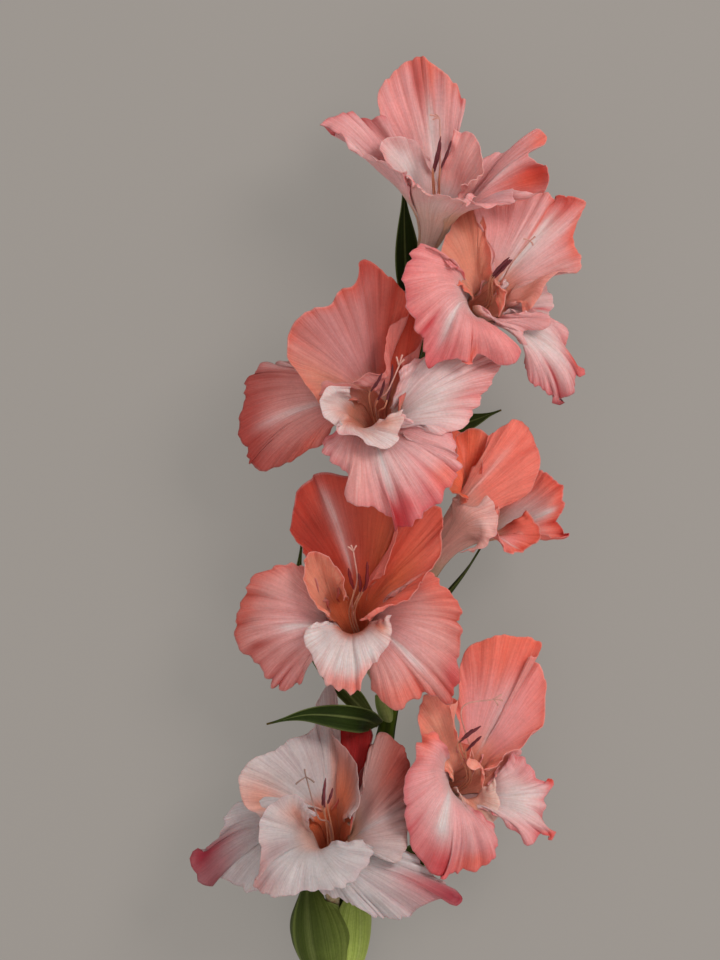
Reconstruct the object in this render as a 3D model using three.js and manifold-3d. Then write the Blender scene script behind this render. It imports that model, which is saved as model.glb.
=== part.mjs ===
// A cut gladiolus spike with seven open florets, laid on its back.
// Millimetres. +X is to the right and +Y runs from the cut end to the tip, as seen from above; +Z is up.
// Each floret is a perianth (six tepals grown into one curved tube), its stamens and style,
// the ovary that carries it on the stem, and the two green bracts that clasp it.

import * as THREE from "three";
import { mergeVertices } from "three/addons/utils/BufferGeometryUtils.js";
import Module from "manifold-3d";

const wasm = await Module();
wasm.setup();

const DEGREE = Math.PI / 180;
const CLEARANCE = 0.35; // kept between two pieces that touch

// Flesh
const TEPAL_THICKNESS = 0.8;
const BRACT_THICKNESS = 0.9;
const TUBE_WALL = 1.6;

// Stem
const STEM_CUT_RADIUS = 5;
const STEM_TOP_RADIUS = 2.8;

// Tube of a perianth
const TUBE_FOOT_RADIUS = 2.7;
const TUBE_FLARE = 1.5; // power by which the tube widens to its mouth
const TUBE_LEAD = 0.35; // how far its curve leads straight on from each end, as a share of the way
const TUBE_FLOOR = 0.14; // share of the tube's run at which its hollow begins
const HOLLOW_RUNS = [0, 0.35, 0.7, 1]; // shares of the hollow's run that its curve goes through
const HOLLOW_BEYOND = 2; // how far the hollow is cut past the mouth
const HOLLOW_MOUTH = 1.05; // share of the tube's run that sets the hollow's width there

// Root of a tepal in the tube's rim
const TEPAL_SUNK = 2;
const WALL_LEAN = 0.19; // how far the tube's wall leans out at its rim, for each millimetre up
const ROOT_SPAN = 29; // degrees of the rim on each side of the midrib

// Blade of a tepal
const FUNNEL = 28 * DEGREE; // lean of a tepal's claw away from the tube's axis
const CLAW_SHARE = 0.6; // longest claw, as a share of the way from rim to margin
const SHOULDER = 0.55; // where a vein's shoulder stands on the way from claw to margin
const FRILL_START = 0.45; // share of a vein's run at which the waves begin
const FRILL_SIDE = 0.8; // share of the half width from which they fade

// Ovary
const OVARY_END_RADIUS = 2.5;
const OVARY_SWELL = 0.9;
const OVARY_LEAD = 0.4; // how far its top leads straight down, as a share of its length

// Bract
const BRACT_FULL = 0.4; // share of its run at which it reaches its full width
const BRACT_TAPER = 0.35; // share of its run at which it begins to taper
const BRACT_TAPER_POWER = 1.4;
const BRACT_POINT = 0.06; // width of its point, as a share of its full width
const BRACT_UNROLLED = 0.5; // how closed its channel still is at the point, as a share of its foot's

// Stamens and style
const COLUMN_FOOT_RADIUS = 0.8;
const COLUMN_TOP_RADIUS = 1.6;
const COLUMN_END = 0.5; // share of the tube's run at which the filaments part
const PARTING_SUNK = 0.05; // how far below that they begin inside the column
const FILAMENT_RADIUS = 0.6;
const FILAMENT_SPACING = 1.2;
const FILAMENT_DROP = 0.4; // how far below the column's middle line the filaments begin
const STYLE_RISE = 0.8; // how far above it the style begins
const STYLE_LEAD = 3; // how far up and out of the throat the style bends
const ANTHER_RADIUS = 1.1;
const ANTHER_END = 0.4; // thickness of an anther's ends, as a share of its middle
const ANTHER_SPREAD = 3.5;
const ANTHER_HEEL_SPREAD = 0.5; // how far apart the lower ends stand, as a share of that
const ANTHER_JOIN = 0.3; // share of an anther's length at which its filament joins it
const STIGMA_LENGTH = 5;
const STIGMA_ASIDE = 0.8; // how far its outer lobes lean aside, as a share of the length
const STIGMA_AHEAD = 0.4; // how far they still lead ahead
const STIGMA_SUNK = 0.1; // how far the lobes are rooted in the style, as a share of the length
const STIGMA_FOOT_RADIUS = 0.5;
const STIGMA_TIP_RADIUS = 0.8;

// Room below the level that the spike lies on, which is cut off every piece
const RESTING_SIDE = 1000;
const RESTING_DEPTH = 100;

// Fineness
const TEPAL_ROWS = 4;
const TUBE_RINGS = 2;
const TUBE_SIDES = 10;
const STEM_RINGS = 12;
const STEM_SIDES = 8;
const BRACT_ROWS = 5;
const BRACT_COLUMNS = 4;
const OVARY_RINGS = 4;
const OVARY_SIDES = 8;
const COLUMN_SIDES = 6;
const ANTHER_RINGS = 2;
const ANTHER_SIDES = 4;
const THREAD_RINGS = 3;
const THREAD_SIDES = 3;

const point = (x, y, z) => new THREE.Vector3(x, y, z);
const mix = (a, b, share) => a + (b - a) * share;

function smooth(low, high, x) {
  const share = Math.min(1, Math.max(0, (x - low) / (high - low)));
  return share * share * (3 - 2 * share);
}

// Materials

const finish = (color, roughness) => new THREE.MeshStandardMaterial({ color, roughness, metalness: 0 });
const coral = finish(0xe8877c, 0.6);
const blush = finish(0xdcc0bb, 0.6);
const anther = finish(0xe6d2cc, 0.5);
const leafGreen = finish(0x4f6b2c, 0.5);
const stemGreen = finish(0x6d7f45, 0.5);

// Solids

function solidOf(geometry) {
  const bare = geometry.clone();
  bare.deleteAttribute("normal");
  bare.deleteAttribute("uv");
  const merged = mergeVertices(bare, 1e-4);
  return new wasm.Manifold(
    new wasm.Mesh({
      numProp: 3,
      vertProperties: new Float32Array(merged.attributes.position.array),
      triVerts: new Uint32Array(merged.index.array),
    }),
  );
}

function geometryOf(solid) {
  const mesh = solid.getMesh();
  return new THREE.BufferGeometry()
    .setAttribute("position", new THREE.BufferAttribute(mesh.vertProperties, 3))
    .setIndex(new THREE.BufferAttribute(mesh.triVerts, 1));
}

function largestBody(solid) {
  return solid.decompose().reduce((kept, body) => (body.volume() > kept.volume() ? body : kept));
}

function closedGeometry(points, triangles) {
  return new THREE.BufferGeometry()
    .setAttribute("position", new THREE.Float32BufferAttribute(points.flatMap((p) => p.toArray()), 3))
    .setIndex(triangles.flat());
}

// The way a surface(s, t) faces at one place.
function facingOf(surface, s, t) {
  const step = 0.01;
  const along = surface(Math.min(1, s + step), t).sub(surface(Math.max(0, s - step), t));
  const across = surface(s, Math.min(1, t + step)).sub(surface(s, Math.max(-1, t - step)));
  return along.cross(across).normalize();
}

// A thin blade from a surface(s, t), with s from root to margin and t from -1 to 1 across.
function thinBlade(surface, rows, columns, thickness) {
  const faces = [[], []];
  for (let i = 0; i <= rows; i++) {
    for (let j = 0; j <= columns; j++) {
      const s = i / rows;
      const t = (2 * j) / columns - 1;
      const half = facingOf(surface, s, t).multiplyScalar(thickness / 2);
      faces[0].push(surface(s, t).sub(half));
      faces[1].push(surface(s, t).add(half));
    }
  }
  const count = (rows + 1) * (columns + 1);
  const at = (i, j) => i * (columns + 1) + j;
  const triangles = [];
  for (let i = 0; i < rows; i++) {
    for (let j = 0; j < columns; j++) {
      const [a, b, c, d] = [at(i, j), at(i + 1, j), at(i + 1, j + 1), at(i, j + 1)];
      const split = j < columns / 2 ? [[a, b, d], [b, c, d]] : [[a, b, c], [a, c, d]];
      for (const [p, q, r] of split) {
        triangles.push([p + count, q + count, r + count], [p, r, q]);
      }
    }
  }
  const rim = [];
  for (let i = 0; i < rows; i++) {
    rim.push([at(i, 0), at(i + 1, 0)], [at(i + 1, columns), at(i, columns)]);
  }
  for (let j = 0; j < columns; j++) {
    rim.push([at(0, j + 1), at(0, j)], [at(rows, j), at(rows, j + 1)]);
  }
  for (const [p, q] of rim) triangles.push([p, q, q + count], [p, q + count, p + count]);
  return closedGeometry([...faces[0], ...faces[1]], triangles);
}

// A solid of round sections along a curve; radius(share) is the section's radius there.
function roundLoft(curve, radius, rings, sides) {
  const frames = curve.computeFrenetFrames(rings, false);
  const points = [];
  for (let i = 0; i <= rings; i++) {
    const centre = curve.getPointAt(i / rings);
    for (let k = 0; k < sides; k++) {
      const turn = (2 * Math.PI * k) / sides;
      points.push(
        centre
          .clone()
          .addScaledVector(frames.normals[i], Math.cos(turn) * radius(i / rings))
          .addScaledVector(frames.binormals[i], Math.sin(turn) * radius(i / rings)),
      );
    }
  }
  const first = points.push(curve.getPointAt(0)) - 1;
  const last = points.push(curve.getPointAt(1)) - 1;
  const triangles = [];
  for (let k = 0; k < sides; k++) {
    const next = (k + 1) % sides;
    triangles.push([first, next, k], [last, rings * sides + k, rings * sides + next]);
    for (let i = 0; i < rings; i++) {
      const [a, b] = [i * sides + k, i * sides + next];
      triangles.push([a, b, b + sides], [a, b + sides, a + sides]);
    }
  }
  return closedGeometry(points, triangles);
}

// Stem, from its cut end to the foot of the topmost floret

const STEM_LINE = [
  [-12, -327, 4.8],
  [-11.6, -224, 9],
  [-4.3, -172, 12],
  [10.8, -114, 14],
  [18.1, -60, 15],
  [22.4, -9, 15],
  [24.9, 34, 15],
  [25.8, 73, 16],
];

function stem(extra) {
  const line = STEM_LINE.map((p) => point(...p));
  const top = line.at(-1);
  top.addScaledVector(top.clone().sub(line.at(-2)).normalize(), extra);
  const curve = new THREE.CatmullRomCurve3(line);
  const radius = (share) => mix(STEM_CUT_RADIUS, STEM_TOP_RADIUS, share) + extra;
  return solidOf(roundLoft(curve, radius, STEM_RINGS, STEM_SIDES));
}

// Perianth: a curved tube that opens into six tepals

function tubeCurve({ foot, throat, axis, footAxis }) {
  const reach = foot.distanceTo(throat);
  const start = foot.clone().addScaledVector(footAxis, reach * TUBE_LEAD);
  const end = throat.clone().addScaledVector(axis, -reach * TUBE_LEAD);
  return new THREE.CubicBezierCurve3(foot, start, end, throat);
}

const tubeRadius = (floret, share) => mix(TUBE_FOOT_RADIUS, floret.mouth, share ** TUBE_FLARE);

function tube(floret, extra) {
  const radius = (share) => tubeRadius(floret, share) + extra;
  return solidOf(roundLoft(floret.curve, radius, TUBE_RINGS, TUBE_SIDES));
}

function hollowOfTube(floret) {
  const { curve, axis } = floret;
  const places = HOLLOW_RUNS.map((share) => curve.getPointAt(mix(TUBE_FLOOR, 1, share)));
  const beyond = curve.getPointAt(1).addScaledVector(axis, HOLLOW_BEYOND);
  const line = new THREE.CatmullRomCurve3([...places, beyond]);
  const tubeShare = (share) => Math.min(1, mix(TUBE_FLOOR, HOLLOW_MOUTH, share));
  const radius = (share) => tubeRadius(floret, tubeShare(share)) - TUBE_WALL;
  return solidOf(roundLoft(line, radius, TUBE_RINGS, TUBE_SIDES));
}

// A tepal fans out in veins from its seat in the tube's rim to its margin.
function tepalVeins(floret, tepal) {
  const { throat, axis, up, mouth } = floret;
  const side = axis.clone().cross(up);
  const ends = tepal.margin.map((p) => throat.clone().add(point(...p)));
  const margin = new THREE.CatmullRomCurve3(ends, false, "catmullrom", 0.5);
  const inWall = mouth - TUBE_WALL / 2;
  const inward = TEPAL_SUNK * WALL_LEAN;
  return (s, t) => {
    const turn = (tepal.seat + ROOT_SPAN * t) * DEGREE;
    const radial = up.clone().multiplyScalar(Math.cos(turn)).addScaledVector(side, Math.sin(turn));
    const claw = axis.clone().multiplyScalar(Math.cos(FUNNEL)).addScaledVector(radial, Math.sin(FUNNEL));
    const rim = throat.clone().addScaledVector(radial, inWall);
    const root = rim.clone().addScaledVector(radial, -inward).addScaledVector(axis, -TEPAL_SUNK);
    const end = margin.getPoint((t + 1) / 2);
    const rise = Math.min(tepal.rise, CLAW_SHARE * rim.distanceTo(end));
    const bend = rim.clone().addScaledVector(claw, rise);
    const arch = tepal.arch * bend.distanceTo(end);
    const shoulder = bend.clone().lerp(end, SHOULDER).addScaledVector(axis, arch);
    return new THREE.CubicBezierCurve3(root, bend, shoulder, end).getPoint(s);
  };
}

function tepalSurface(floret, tepal) {
  const veins = tepalVeins(floret, tepal);
  return (s, t) => {
    const wave = Math.sin(Math.PI * tepal.waves * t + tepal.phase);
    const shown = smooth(FRILL_START, 1, s) * smooth(1, FRILL_SIDE, Math.abs(t));
    return veins(s, t).addScaledVector(facingOf(veins, s, t), tepal.frill * shown * wave);
  };
}

function perianth(floret) {
  const blades = floret.tepals.map((grown) => {
    const columns = grown.margin.length - 1;
    return solidOf(thinBlade(tepalSurface(floret, grown), TEPAL_ROWS, columns, TEPAL_THICKNESS));
  });
  const hollowTube = tube(floret, 0).subtract(hollowOfTube(floret));
  return largestBody(blades.reduce((sum, blade) => sum.add(blade), hollowTube));
}

// Stamens and style: three filaments and the style rise together on one column from the tube's floor

function stamens(floret) {
  const { curve, throat, axis, up } = floret;
  const side = axis.clone().cross(up);
  const fromThroat = (p) => throat.clone().add(point(...p));
  const [heel, tip, stigma] = [floret.heel, floret.tip, floret.stigma].map(fromThroat);
  const root = curve.getPointAt(TUBE_FLOOR).addScaledVector(curve.getTangentAt(TUBE_FLOOR), CLEARANCE);
  const column = new THREE.LineCurve3(root, curve.getPointAt(COLUMN_END));
  const parting = curve.getPointAt(COLUMN_END - PARTING_SUNK);
  const columnRadius = (share) => mix(COLUMN_FOOT_RADIUS, COLUMN_TOP_RADIUS, share);
  const fullness = (share) => ANTHER_RADIUS * mix(ANTHER_END, 1, Math.sin(Math.PI * share));
  const parts = [roundLoft(column, columnRadius, 1, COLUMN_SIDES)];
  for (const spread of [-1, 0, 1]) {
    const top = tip.clone().addScaledVector(side, ANTHER_SPREAD * spread);
    const base = heel.clone().addScaledVector(side, ANTHER_HEEL_SPREAD * ANTHER_SPREAD * spread);
    const apart = FILAMENT_SPACING * spread;
    const start = parting.clone().addScaledVector(side, apart).addScaledVector(up, -FILAMENT_DROP);
    const bend = throat.clone().addScaledVector(side, apart);
    const filament = new THREE.CatmullRomCurve3([start, bend, base.clone().lerp(top, ANTHER_JOIN)]);
    parts.push(roundLoft(filament, () => FILAMENT_RADIUS, THREAD_RINGS, THREAD_SIDES));
    parts.push(roundLoft(new THREE.LineCurve3(base, top), fullness, ANTHER_RINGS, ANTHER_SIDES));
  }
  const styleFoot = parting.clone().addScaledVector(up, STYLE_RISE);
  const styleBend = throat.clone().addScaledVector(up, STYLE_LEAD).addScaledVector(axis, STYLE_LEAD);
  const style = new THREE.CatmullRomCurve3([styleFoot, styleBend, stigma]);
  const lobeRadius = (share) => mix(STIGMA_FOOT_RADIUS, STIGMA_TIP_RADIUS, share);
  parts.push(roundLoft(style, () => FILAMENT_RADIUS, THREAD_RINGS, THREAD_SIDES));
  for (const spread of [-1, 0, 1]) {
    const aside = STIGMA_ASIDE * spread * STIGMA_LENGTH;
    const ahead = mix(1, STIGMA_AHEAD, Math.abs(spread)) * STIGMA_LENGTH;
    const end = stigma.clone().addScaledVector(side, aside).addScaledVector(up, ahead);
    const lobe = new THREE.LineCurve3(stigma.clone().lerp(end, -STIGMA_SUNK), end);
    parts.push(roundLoft(lobe, lobeRadius, 1, THREAD_SIDES));
  }
  return largestBody(parts.map(solidOf).reduce((sum, solid) => sum.add(solid)));
}

// Ovary, from the stem to the tube's foot

function ovary(floret, extra) {
  const { node, foot, footAxis } = floret;
  const top = foot.clone().addScaledVector(footAxis, -CLEARANCE);
  const middle = top.clone().addScaledVector(footAxis, -OVARY_LEAD * node.distanceTo(top));
  const line = new THREE.QuadraticBezierCurve3(node, middle, top);
  const radius = (share) => OVARY_END_RADIUS + OVARY_SWELL * Math.sin(Math.PI * share) + extra;
  return solidOf(roundLoft(line, radius, OVARY_RINGS, OVARY_SIDES));
}

// Bract: a channelled green blade that tapers to a point

function bract({ spine, faces, wide, clasp, channel }) {
  const line = new THREE.CatmullRomCurve3(spine.map((p) => point(...p)));
  const open = point(...faces).normalize();
  const surface = (s, t) => {
    const along = line.getTangentAt(s);
    const across = along.clone().cross(open).normalize();
    const inward = across.clone().cross(along);
    const swell = mix(clasp, 1, smooth(0, BRACT_FULL, s));
    const taper = mix(1, BRACT_POINT, smooth(BRACT_TAPER, 1, s) ** BRACT_TAPER_POWER);
    const closed = channel * DEGREE * mix(1, BRACT_UNROLLED, s);
    const turn = closed * t;
    const radius = ((wide / 2) * swell * taper) / closed;
    return line
      .getPointAt(s)
      .addScaledVector(across, radius * Math.sin(turn))
      .addScaledVector(inward, radius * (1 - Math.cos(turn)));
  };
  return solidOf(thinBlade(surface, BRACT_ROWS, BRACT_COLUMNS, BRACT_THICKNESS));
}

// Florets. Places are in millimetres: stem nodes, feet and throats from the middle of the spike's open
// part, margins, anthers and stigmas from their own throat. A margin runs counter-clockwise as seen
// from the front of its floret, over the tip in its middle.

const tepal = (name, seat, arch, frill, waves, phase, margin, rise = 12) => ({
  name,
  seat,
  arch,
  frill,
  waves,
  phase,
  margin,
  rise,
});

const bractOf = (name, spine, faces, wide, clasp = 0.7, channel = 60) => ({
  name,
  spine,
  faces,
  wide,
  clasp,
  channel,
});

const florets = [
  {
    name: "floret_1",
    node: [25.6, 70, 15],
    foot: [26, 90, 23],
    throat: [32.7, 114, 44],
    axis: [0.08, 0.84, 0.54],
    up: [0, 0.54, -0.84],
    mouth: 8.5,
    heel: [-2, 19, 14],
    tip: [2, 32, 16],
    stigma: [-2, 40, 12],
    tepals: [
      tepal("dorsal", 0, -0.08, 1.2, 2, 0.4, [
        [7, 32, -8],
        [12, 50, -2],
        [5, 63, 0],
        [-7, 68, -2],
        [-20, 60, 0],
        [-25, 46, 1],
        [-16, 27, -6],
      ]),
      tepal("upper_left", 55, 0, 1, 1.5, 0, [
        [-8, 31, 3],
        [-15, 34, 8],
        [-21, 30, 13],
        [-16, 23, 16],
        [-8, 17, 14],
      ]),
      tepal("lower_left", 105, 0.12, 2, 2.5, 1, [
        [-19, 30, 0],
        [-29, 42, 4],
        [-41, 43, 8],
        [-49, 35, 10],
        [-39, 29, 15],
        [-26, 22, 18],
        [-13, 17, 17],
      ]),
      tepal("median", 180, 0.3, 1.5, 2.5, 0.5, [
        [-13, 18, 14],
        [-7, 13, 22],
        [2, 8, 26],
        [11, 5, 24],
        [17, 10, 16],
      ]),
      tepal("lower_right", -105, 0.12, 2, 2.5, 0, [
        [8, 7, 18],
        [30, 4, 18],
        [45, 14, 16],
        [47, 34, 12],
        [34, 28, 5],
        [23, 24, 2],
        [16, 16, 2],
      ]),
      tepal("upper_right", -55, 0, 1, 1.5, 1, [
        [10, 12, 15],
        [17, 15, 15],
        [20, 25, 11],
        [15, 34, 5],
        [8, 37, 0],
      ]),
    ],
    bracts: [
      bractOf("outer", [
        [23, 66, 11],
        [20, 88, 17],
        [19, 110, 27],
        [18.9, 130, 34],
      ], [0.6, -0.3, 0.8], 15),
      bractOf("inner", [
        [29, 70, 17],
        [33, 84, 21],
        [37, 103, 29],
      ], [-0.6, -0.3, 0.6], 9),
    ],
  },
  {
    name: "floret_2",
    node: [25, 36, 15],
    foot: [31, 50, 23],
    throat: [54.6, 75.3, 46],
    axis: [0.5, 0.35, 0.79],
    up: [0.6, 1, 0],
    mouth: 8.5,
    heel: [1, 11, 20],
    tip: [9, 20, 24],
    stigma: [14, 26, 22],
    tepals: [
      tepal("dorsal", 0, 0, 2, 2.5, 0, [
        [14, -1, 8],
        [30, 11, 4],
        [41, 22, 0],
        [40, 44, -4],
        [18, 50, -3],
        [-4, 41, 2],
        [0, 15, 6],
      ]),
      tepal("upper_left", 60, 0, 1, 2, 1, [
        [-3, 13, 12],
        [-3, 31, 7],
        [-5, 42, 0],
        [-11, 39, -2],
        [-17, 28, 5],
        [-18, 18, 11],
        [-11, 6, 14],
      ]),
      tepal("lower_left", 125, 0.35, 2.5, 3.5, 0.5, [
        [-17, 15, 18],
        [-29, 26, 22],
        [-37, 11, 24],
        [-33, -13, 22],
        [-25, -25, 18],
        [-9, -26, 20],
        [6, -25, 18],
        [14, -21, 15],
        [8, -13, 13],
      ], 18),
      tepal("median", 180, 0.2, 0.8, 1.5, 0, [
        [3, -8, 8],
        [11, -16, 9],
        [17, -17, 8],
        [24, -7, 6],
        [13, -1, 5],
      ]),
      tepal("lower_right", -120, 0.25, 2, 2.5, 0, [
        [13, -14, 6],
        [20, -29, 2],
        [25, -37, -1],
        [31, -41, -4],
        [39, -32, -6],
        [41, -20, -5],
        [25, -3, 0],
      ]),
      tepal("upper_right", -60, 0.1, 1.5, 2, 0, [
        [14, -4, 3],
        [25, -7, -2],
        [29, -1, -6],
        [28, 6, -10],
        [21, 13, -11],
        [13, 17, -8],
        [6, 9, -1],
      ]),
    ],
    bracts: [
      bractOf("outer", [
        [24, 27, 9],
        [36, 22, 7.5],
        [50, 26, 3.5],
        [62.5, 31, 0],
      ], [-0.2, 0.6, 1], 12),
      bractOf("inner", [
        [26, 38, 18],
        [27, 54, 27],
        [33, 69, 35],
      ], [0.8, -0.6, 0.2], 9),
    ],
  },
  {
    name: "floret_3",
    node: [21.6, -22, 15],
    foot: [18, -8, 24],
    throat: [6.5, 28, 48],
    axis: [-0.05, 0.45, 0.89],
    up: [0, 1, 0],
    mouth: 8.5,
    heel: [2, 6, 20],
    tip: [5, 18, 26],
    stigma: [10, 25, 28],
    tepals: [
      tepal("dorsal", 0, -0.08, 1.5, 2, 0.5, [
        [-1, 10, 14],
        [6, 28, 12],
        [13, 48, 12],
        [-2, 65, 14],
        [-21, 47, 20],
        [-37, 29, 22],
        [-21, 4, 18],
      ]),
      tepal("left", 65, 0.25, 2, 3, 0, [
        [-24, 7, 12],
        [-35, 22, 8],
        [-53, 16, 2],
        [-61, -7, -8],
        [-54, -23, -12],
        [-37, -24, -6],
        [-22, -14, 6],
      ]),
      tepal("lip", 120, 0.15, 1.5, 2.5, 0.5, [
        [-11, 10, 14],
        [-22, 10, 22],
        [-17, -1, 26],
        [-12, -8, 28],
        [-2, -13, 26],
        [9, -11, 24],
        [16, -3, 18],
      ]),
      tepal("lower", 180, 0.25, 2, 3, 0.5, [
        [-22, -11, 14],
        [-19, -26, 20],
        [-9, -38, 22],
        [8, -51, 24],
        [24, -42, 22],
        [35, -24, 20],
        [28, -7, 15],
      ]),
      tepal("right", -120, 0.2, 1.5, 2.5, 0, [
        [11, 0, 17],
        [26, -7, 18],
        [41, -2, 15],
        [52, 20, 8],
        [47, 30, 5],
        [32, 34, 5],
        [10, 18, 10],
      ]),
      tepal("upper_right", -60, 0, 1, 2, 0, [
        [11, 23, 6],
        [19, 30, 6],
        [22, 41, 5],
        [18, 50, 5],
        [13, 53, 5],
        [7, 45, 5],
        [5, 30, 6],
      ]),
    ],
    bracts: [
      bractOf("outer", [
        [19, -28, 12],
        [11, -12, 12],
        [2, 6, 16],
        [-6, 26, 22],
      ], [0.6, -0.2, 0.8], 15),
      bractOf("inner", [
        [25, -20, 17],
        [27, -2, 24],
        [26, 15, 32],
      ], [-0.8, -0.3, 0.4], 10),
    ],
  },
  {
    name: "floret_4",
    node: [19, -66, 15],
    foot: [27, -52, 21],
    throat: [47.3, -17.2, 34],
    axis: [0.75, 0.55, 0.35],
    up: [-0.4, 0.8, 0],
    mouth: 8,
    heel: [7, 5, 4],
    tip: [14, 12, 6],
    stigma: [19, 16, 7],
    tepals: [
      tepal("back", -80, 0.1, 1, 2, 0, [
        [18, 10, -10],
        [12, 24, -13],
        [-2, 37, -10],
        [-9, 38, -8],
        [-10, 28, -6],
        [-8, 20, -3],
        [-5, 12, -2],
      ]),
      tepal("upper", 0, 0, 1, 2, 1, [
        [-6, 12, 0],
        [-6, 24, 1],
        [1, 39, 0],
        [7, 34, 3],
        [5, 14, 8],
      ]),
      tepal("centre", 55, 0, 1.2, 2, 0.5, [
        [5, 16, 11],
        [8, 31, 12],
        [20, 43, 9],
        [29, 24, 10],
        [19, 7, 11],
      ]),
      tepal("near", 100, -0.1, 0.8, 1.5, 0, [
        [4, 10, 14],
        [11, 6, 17],
        [13, -7, 17],
        [0, -11, 13],
        [-3, -12, 7],
      ]),
      tepal("lower", 150, 0.1, 1, 2, 0, [
        [12, 4, 12],
        [15, -11, 15],
        [22, -14, 13],
        [31, -7, 9],
        [23, 0, 5],
      ]),
      tepal("right", -145, 0.15, 1.2, 2, 0, [
        [21, -3, 7],
        [39, -9, 4],
        [42, 8, 0],
        [35, 20, -6],
        [19, 11, -8],
      ]),
    ],
    bracts: [
      bractOf("outer", [
        [20, -72, 12],
        [33, -58, 14],
        [45, -42, 20],
        [54, -27, 27],
      ], [-0.8, 0.6, 0.1], 8),
      bractOf("inner", [
        [17, -58, 19],
        [22, -42, 27],
        [31, -27, 34],
      ], [0.8, -0.4, -0.2], 9),
    ],
  },
  {
    name: "floret_5",
    node: [13, -106, 14],
    foot: [9, -93, 22],
    throat: [-3.4, -59.3, 40],
    axis: [0, 0.48, 0.88],
    up: [0, 1, 0],
    mouth: 8.5,
    heel: [2, 11, 18],
    tip: [3, 24, 22],
    stigma: [-1, 32, 24],
    tepals: [
      tepal("dorsal", 0, -0.12, 1.2, 2, 0.5, [
        [9, 14, 2],
        [19, 34, 8],
        [14, 52, 14],
        [-12, 63, 14],
        [-24, 48, 15],
        [-21, 34, 13],
        [-10, 12, 7],
      ]),
      tepal("upper_left", 60, 0, 0.8, 2, 0, [
        [-8, 14, 15],
        [-14, 29, 20],
        [-19, 29, 22],
        [-18, 16, 22],
        [-10, 1, 17],
      ]),
      tepal("lower_left", 120, 0.3, 2, 3, 0, [
        [-11, 8, 12],
        [-22, 22, 14],
        [-36, 23, 12],
        [-50, 5, 6],
        [-48, -16, 0],
        [-36, -31, -2],
        [-27, -31, 4],
        [-22, -22, 8],
        [-14, -11, 12],
      ]),
      tepal("median", 180, 0.3, 1.5, 2.5, 0.5, [
        [-17, 3, 16],
        [-22, -9, 22],
        [-18, -27, 20],
        [0, -31, 20],
        [9, -22, 24],
        [16, -12, 24],
        [17, 5, 16],
      ]),
      tepal("lower_right", -120, 0.25, 2, 3, 0.5, [
        [6, -19, 10],
        [16, -35, 12],
        [28, -36, 12],
        [40, -37, 12],
        [46, -12, 14],
        [39, 19, 18],
        [19, 9, 13],
      ]),
      tepal("upper_right", -60, 0, 1.2, 2, 0, [
        [15, 7, 18],
        [26, 12, 23],
        [35, 27, 22],
        [38, 45, 18],
        [31, 49, 18],
        [23, 42, 18],
        [13, 19, 16],
      ]),
    ],
    bracts: [
      bractOf("outer", [
        [8, -107, 16],
        [0, -103, 38],
        [-23, -100.5, 51],
        [-40, -104.5, 52],
      ], [0, -0.2, 1], 13),
      bractOf("inner", [
        [8, -108, 10],
        [-12, -86, 8],
        [-27, -52, 3],
        [-25.5, -24.5, 0],
      ], [0.3, 0.2, 1], 13),
    ],
  },
  {
    name: "floret_6",
    node: [-2.6, -168, 12],
    foot: [6, -156, 19],
    throat: [46.4, -131.2, 34],
    axis: [0.55, 0.35, 0.76],
    up: [0.5, 1, 0],
    mouth: 8.5,
    heel: [-3, 14, 20],
    tip: [4, 26, 22],
    stigma: [3, 36, 22],
    tepals: [
      tepal("dorsal", 0, 0, 1.8, 2.5, 0, [
        [7, 5, 10],
        [22, 20, 6],
        [36, 34, 2],
        [32, 61, 2],
        [10, 63, 4],
        [-3, 45, 5],
        [-2, 20, 8],
      ]),
      tepal("upper_left", 60, 0, 1.5, 2.5, 1, [
        [-4, 17, 12],
        [-5, 30, 12],
        [-10, 37, 9],
        [-17, 39, 6],
        [-20, 30, 8],
        [-17, 17, 12],
        [-11, 6, 14],
      ]),
      tepal("lower_left", 125, 0.35, 2.5, 3.5, 0.5, [
        [-16, 20, 16],
        [-24, 7, 24],
        [-28, -15, 24],
        [-16, -33, 20],
        [-6, -41, 20],
        [9, -33, 20],
        [7, -18, 17],
      ], 18),
      tepal("median", 180, 0.15, 0.8, 1.5, 0, [
        [1, -8, 8],
        [7, -13, 10],
        [13, -14, 11],
        [14, -7, 11],
        [9, 3, 8],
      ]),
      tepal("lower_right", -120, 0.25, 2, 2.5, 0, [
        [12, -15, 9],
        [22, -24, 8],
        [29, -26, 6],
        [39, -23, 2],
        [36, 0, -4],
        [25, 9, -4],
        [16, 16, -4],
      ]),
      tepal("upper_right", -60, 0.1, 1.5, 2, 0, [
        [14, 7, -2],
        [26, 15, -9],
        [30, 26, -13],
        [28, 36, -15],
        [21, 40, -15],
        [15, 36, -13],
        [7, 19, -4],
      ]),
    ],
    bracts: [
      bractOf("outer", [
        [-2, -177, 8.5],
        [17, -170, 7],
        [40, -159, 3],
        [58, -147.5, 0],
      ], [-0.2, 0.3, 1], 13),
      bractOf("inner", [
        [-1, -160, 16],
        [12, -142, 22],
        [25, -128, 28],
      ], [0.4, -0.7, 0.5], 9),
    ],
  },
  {
    name: "floret_7",
    node: [-9.6, -208, 10],
    foot: [-12, -195, 19],
    throat: [-12.9, -152.7, 40],
    axis: [-0.12, 0.48, 0.87],
    up: [0, 1, 0],
    mouth: 8.5,
    heel: [-2, 11, 18],
    tip: [-2, 26, 20],
    stigma: [-11, 26, 26],
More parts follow.
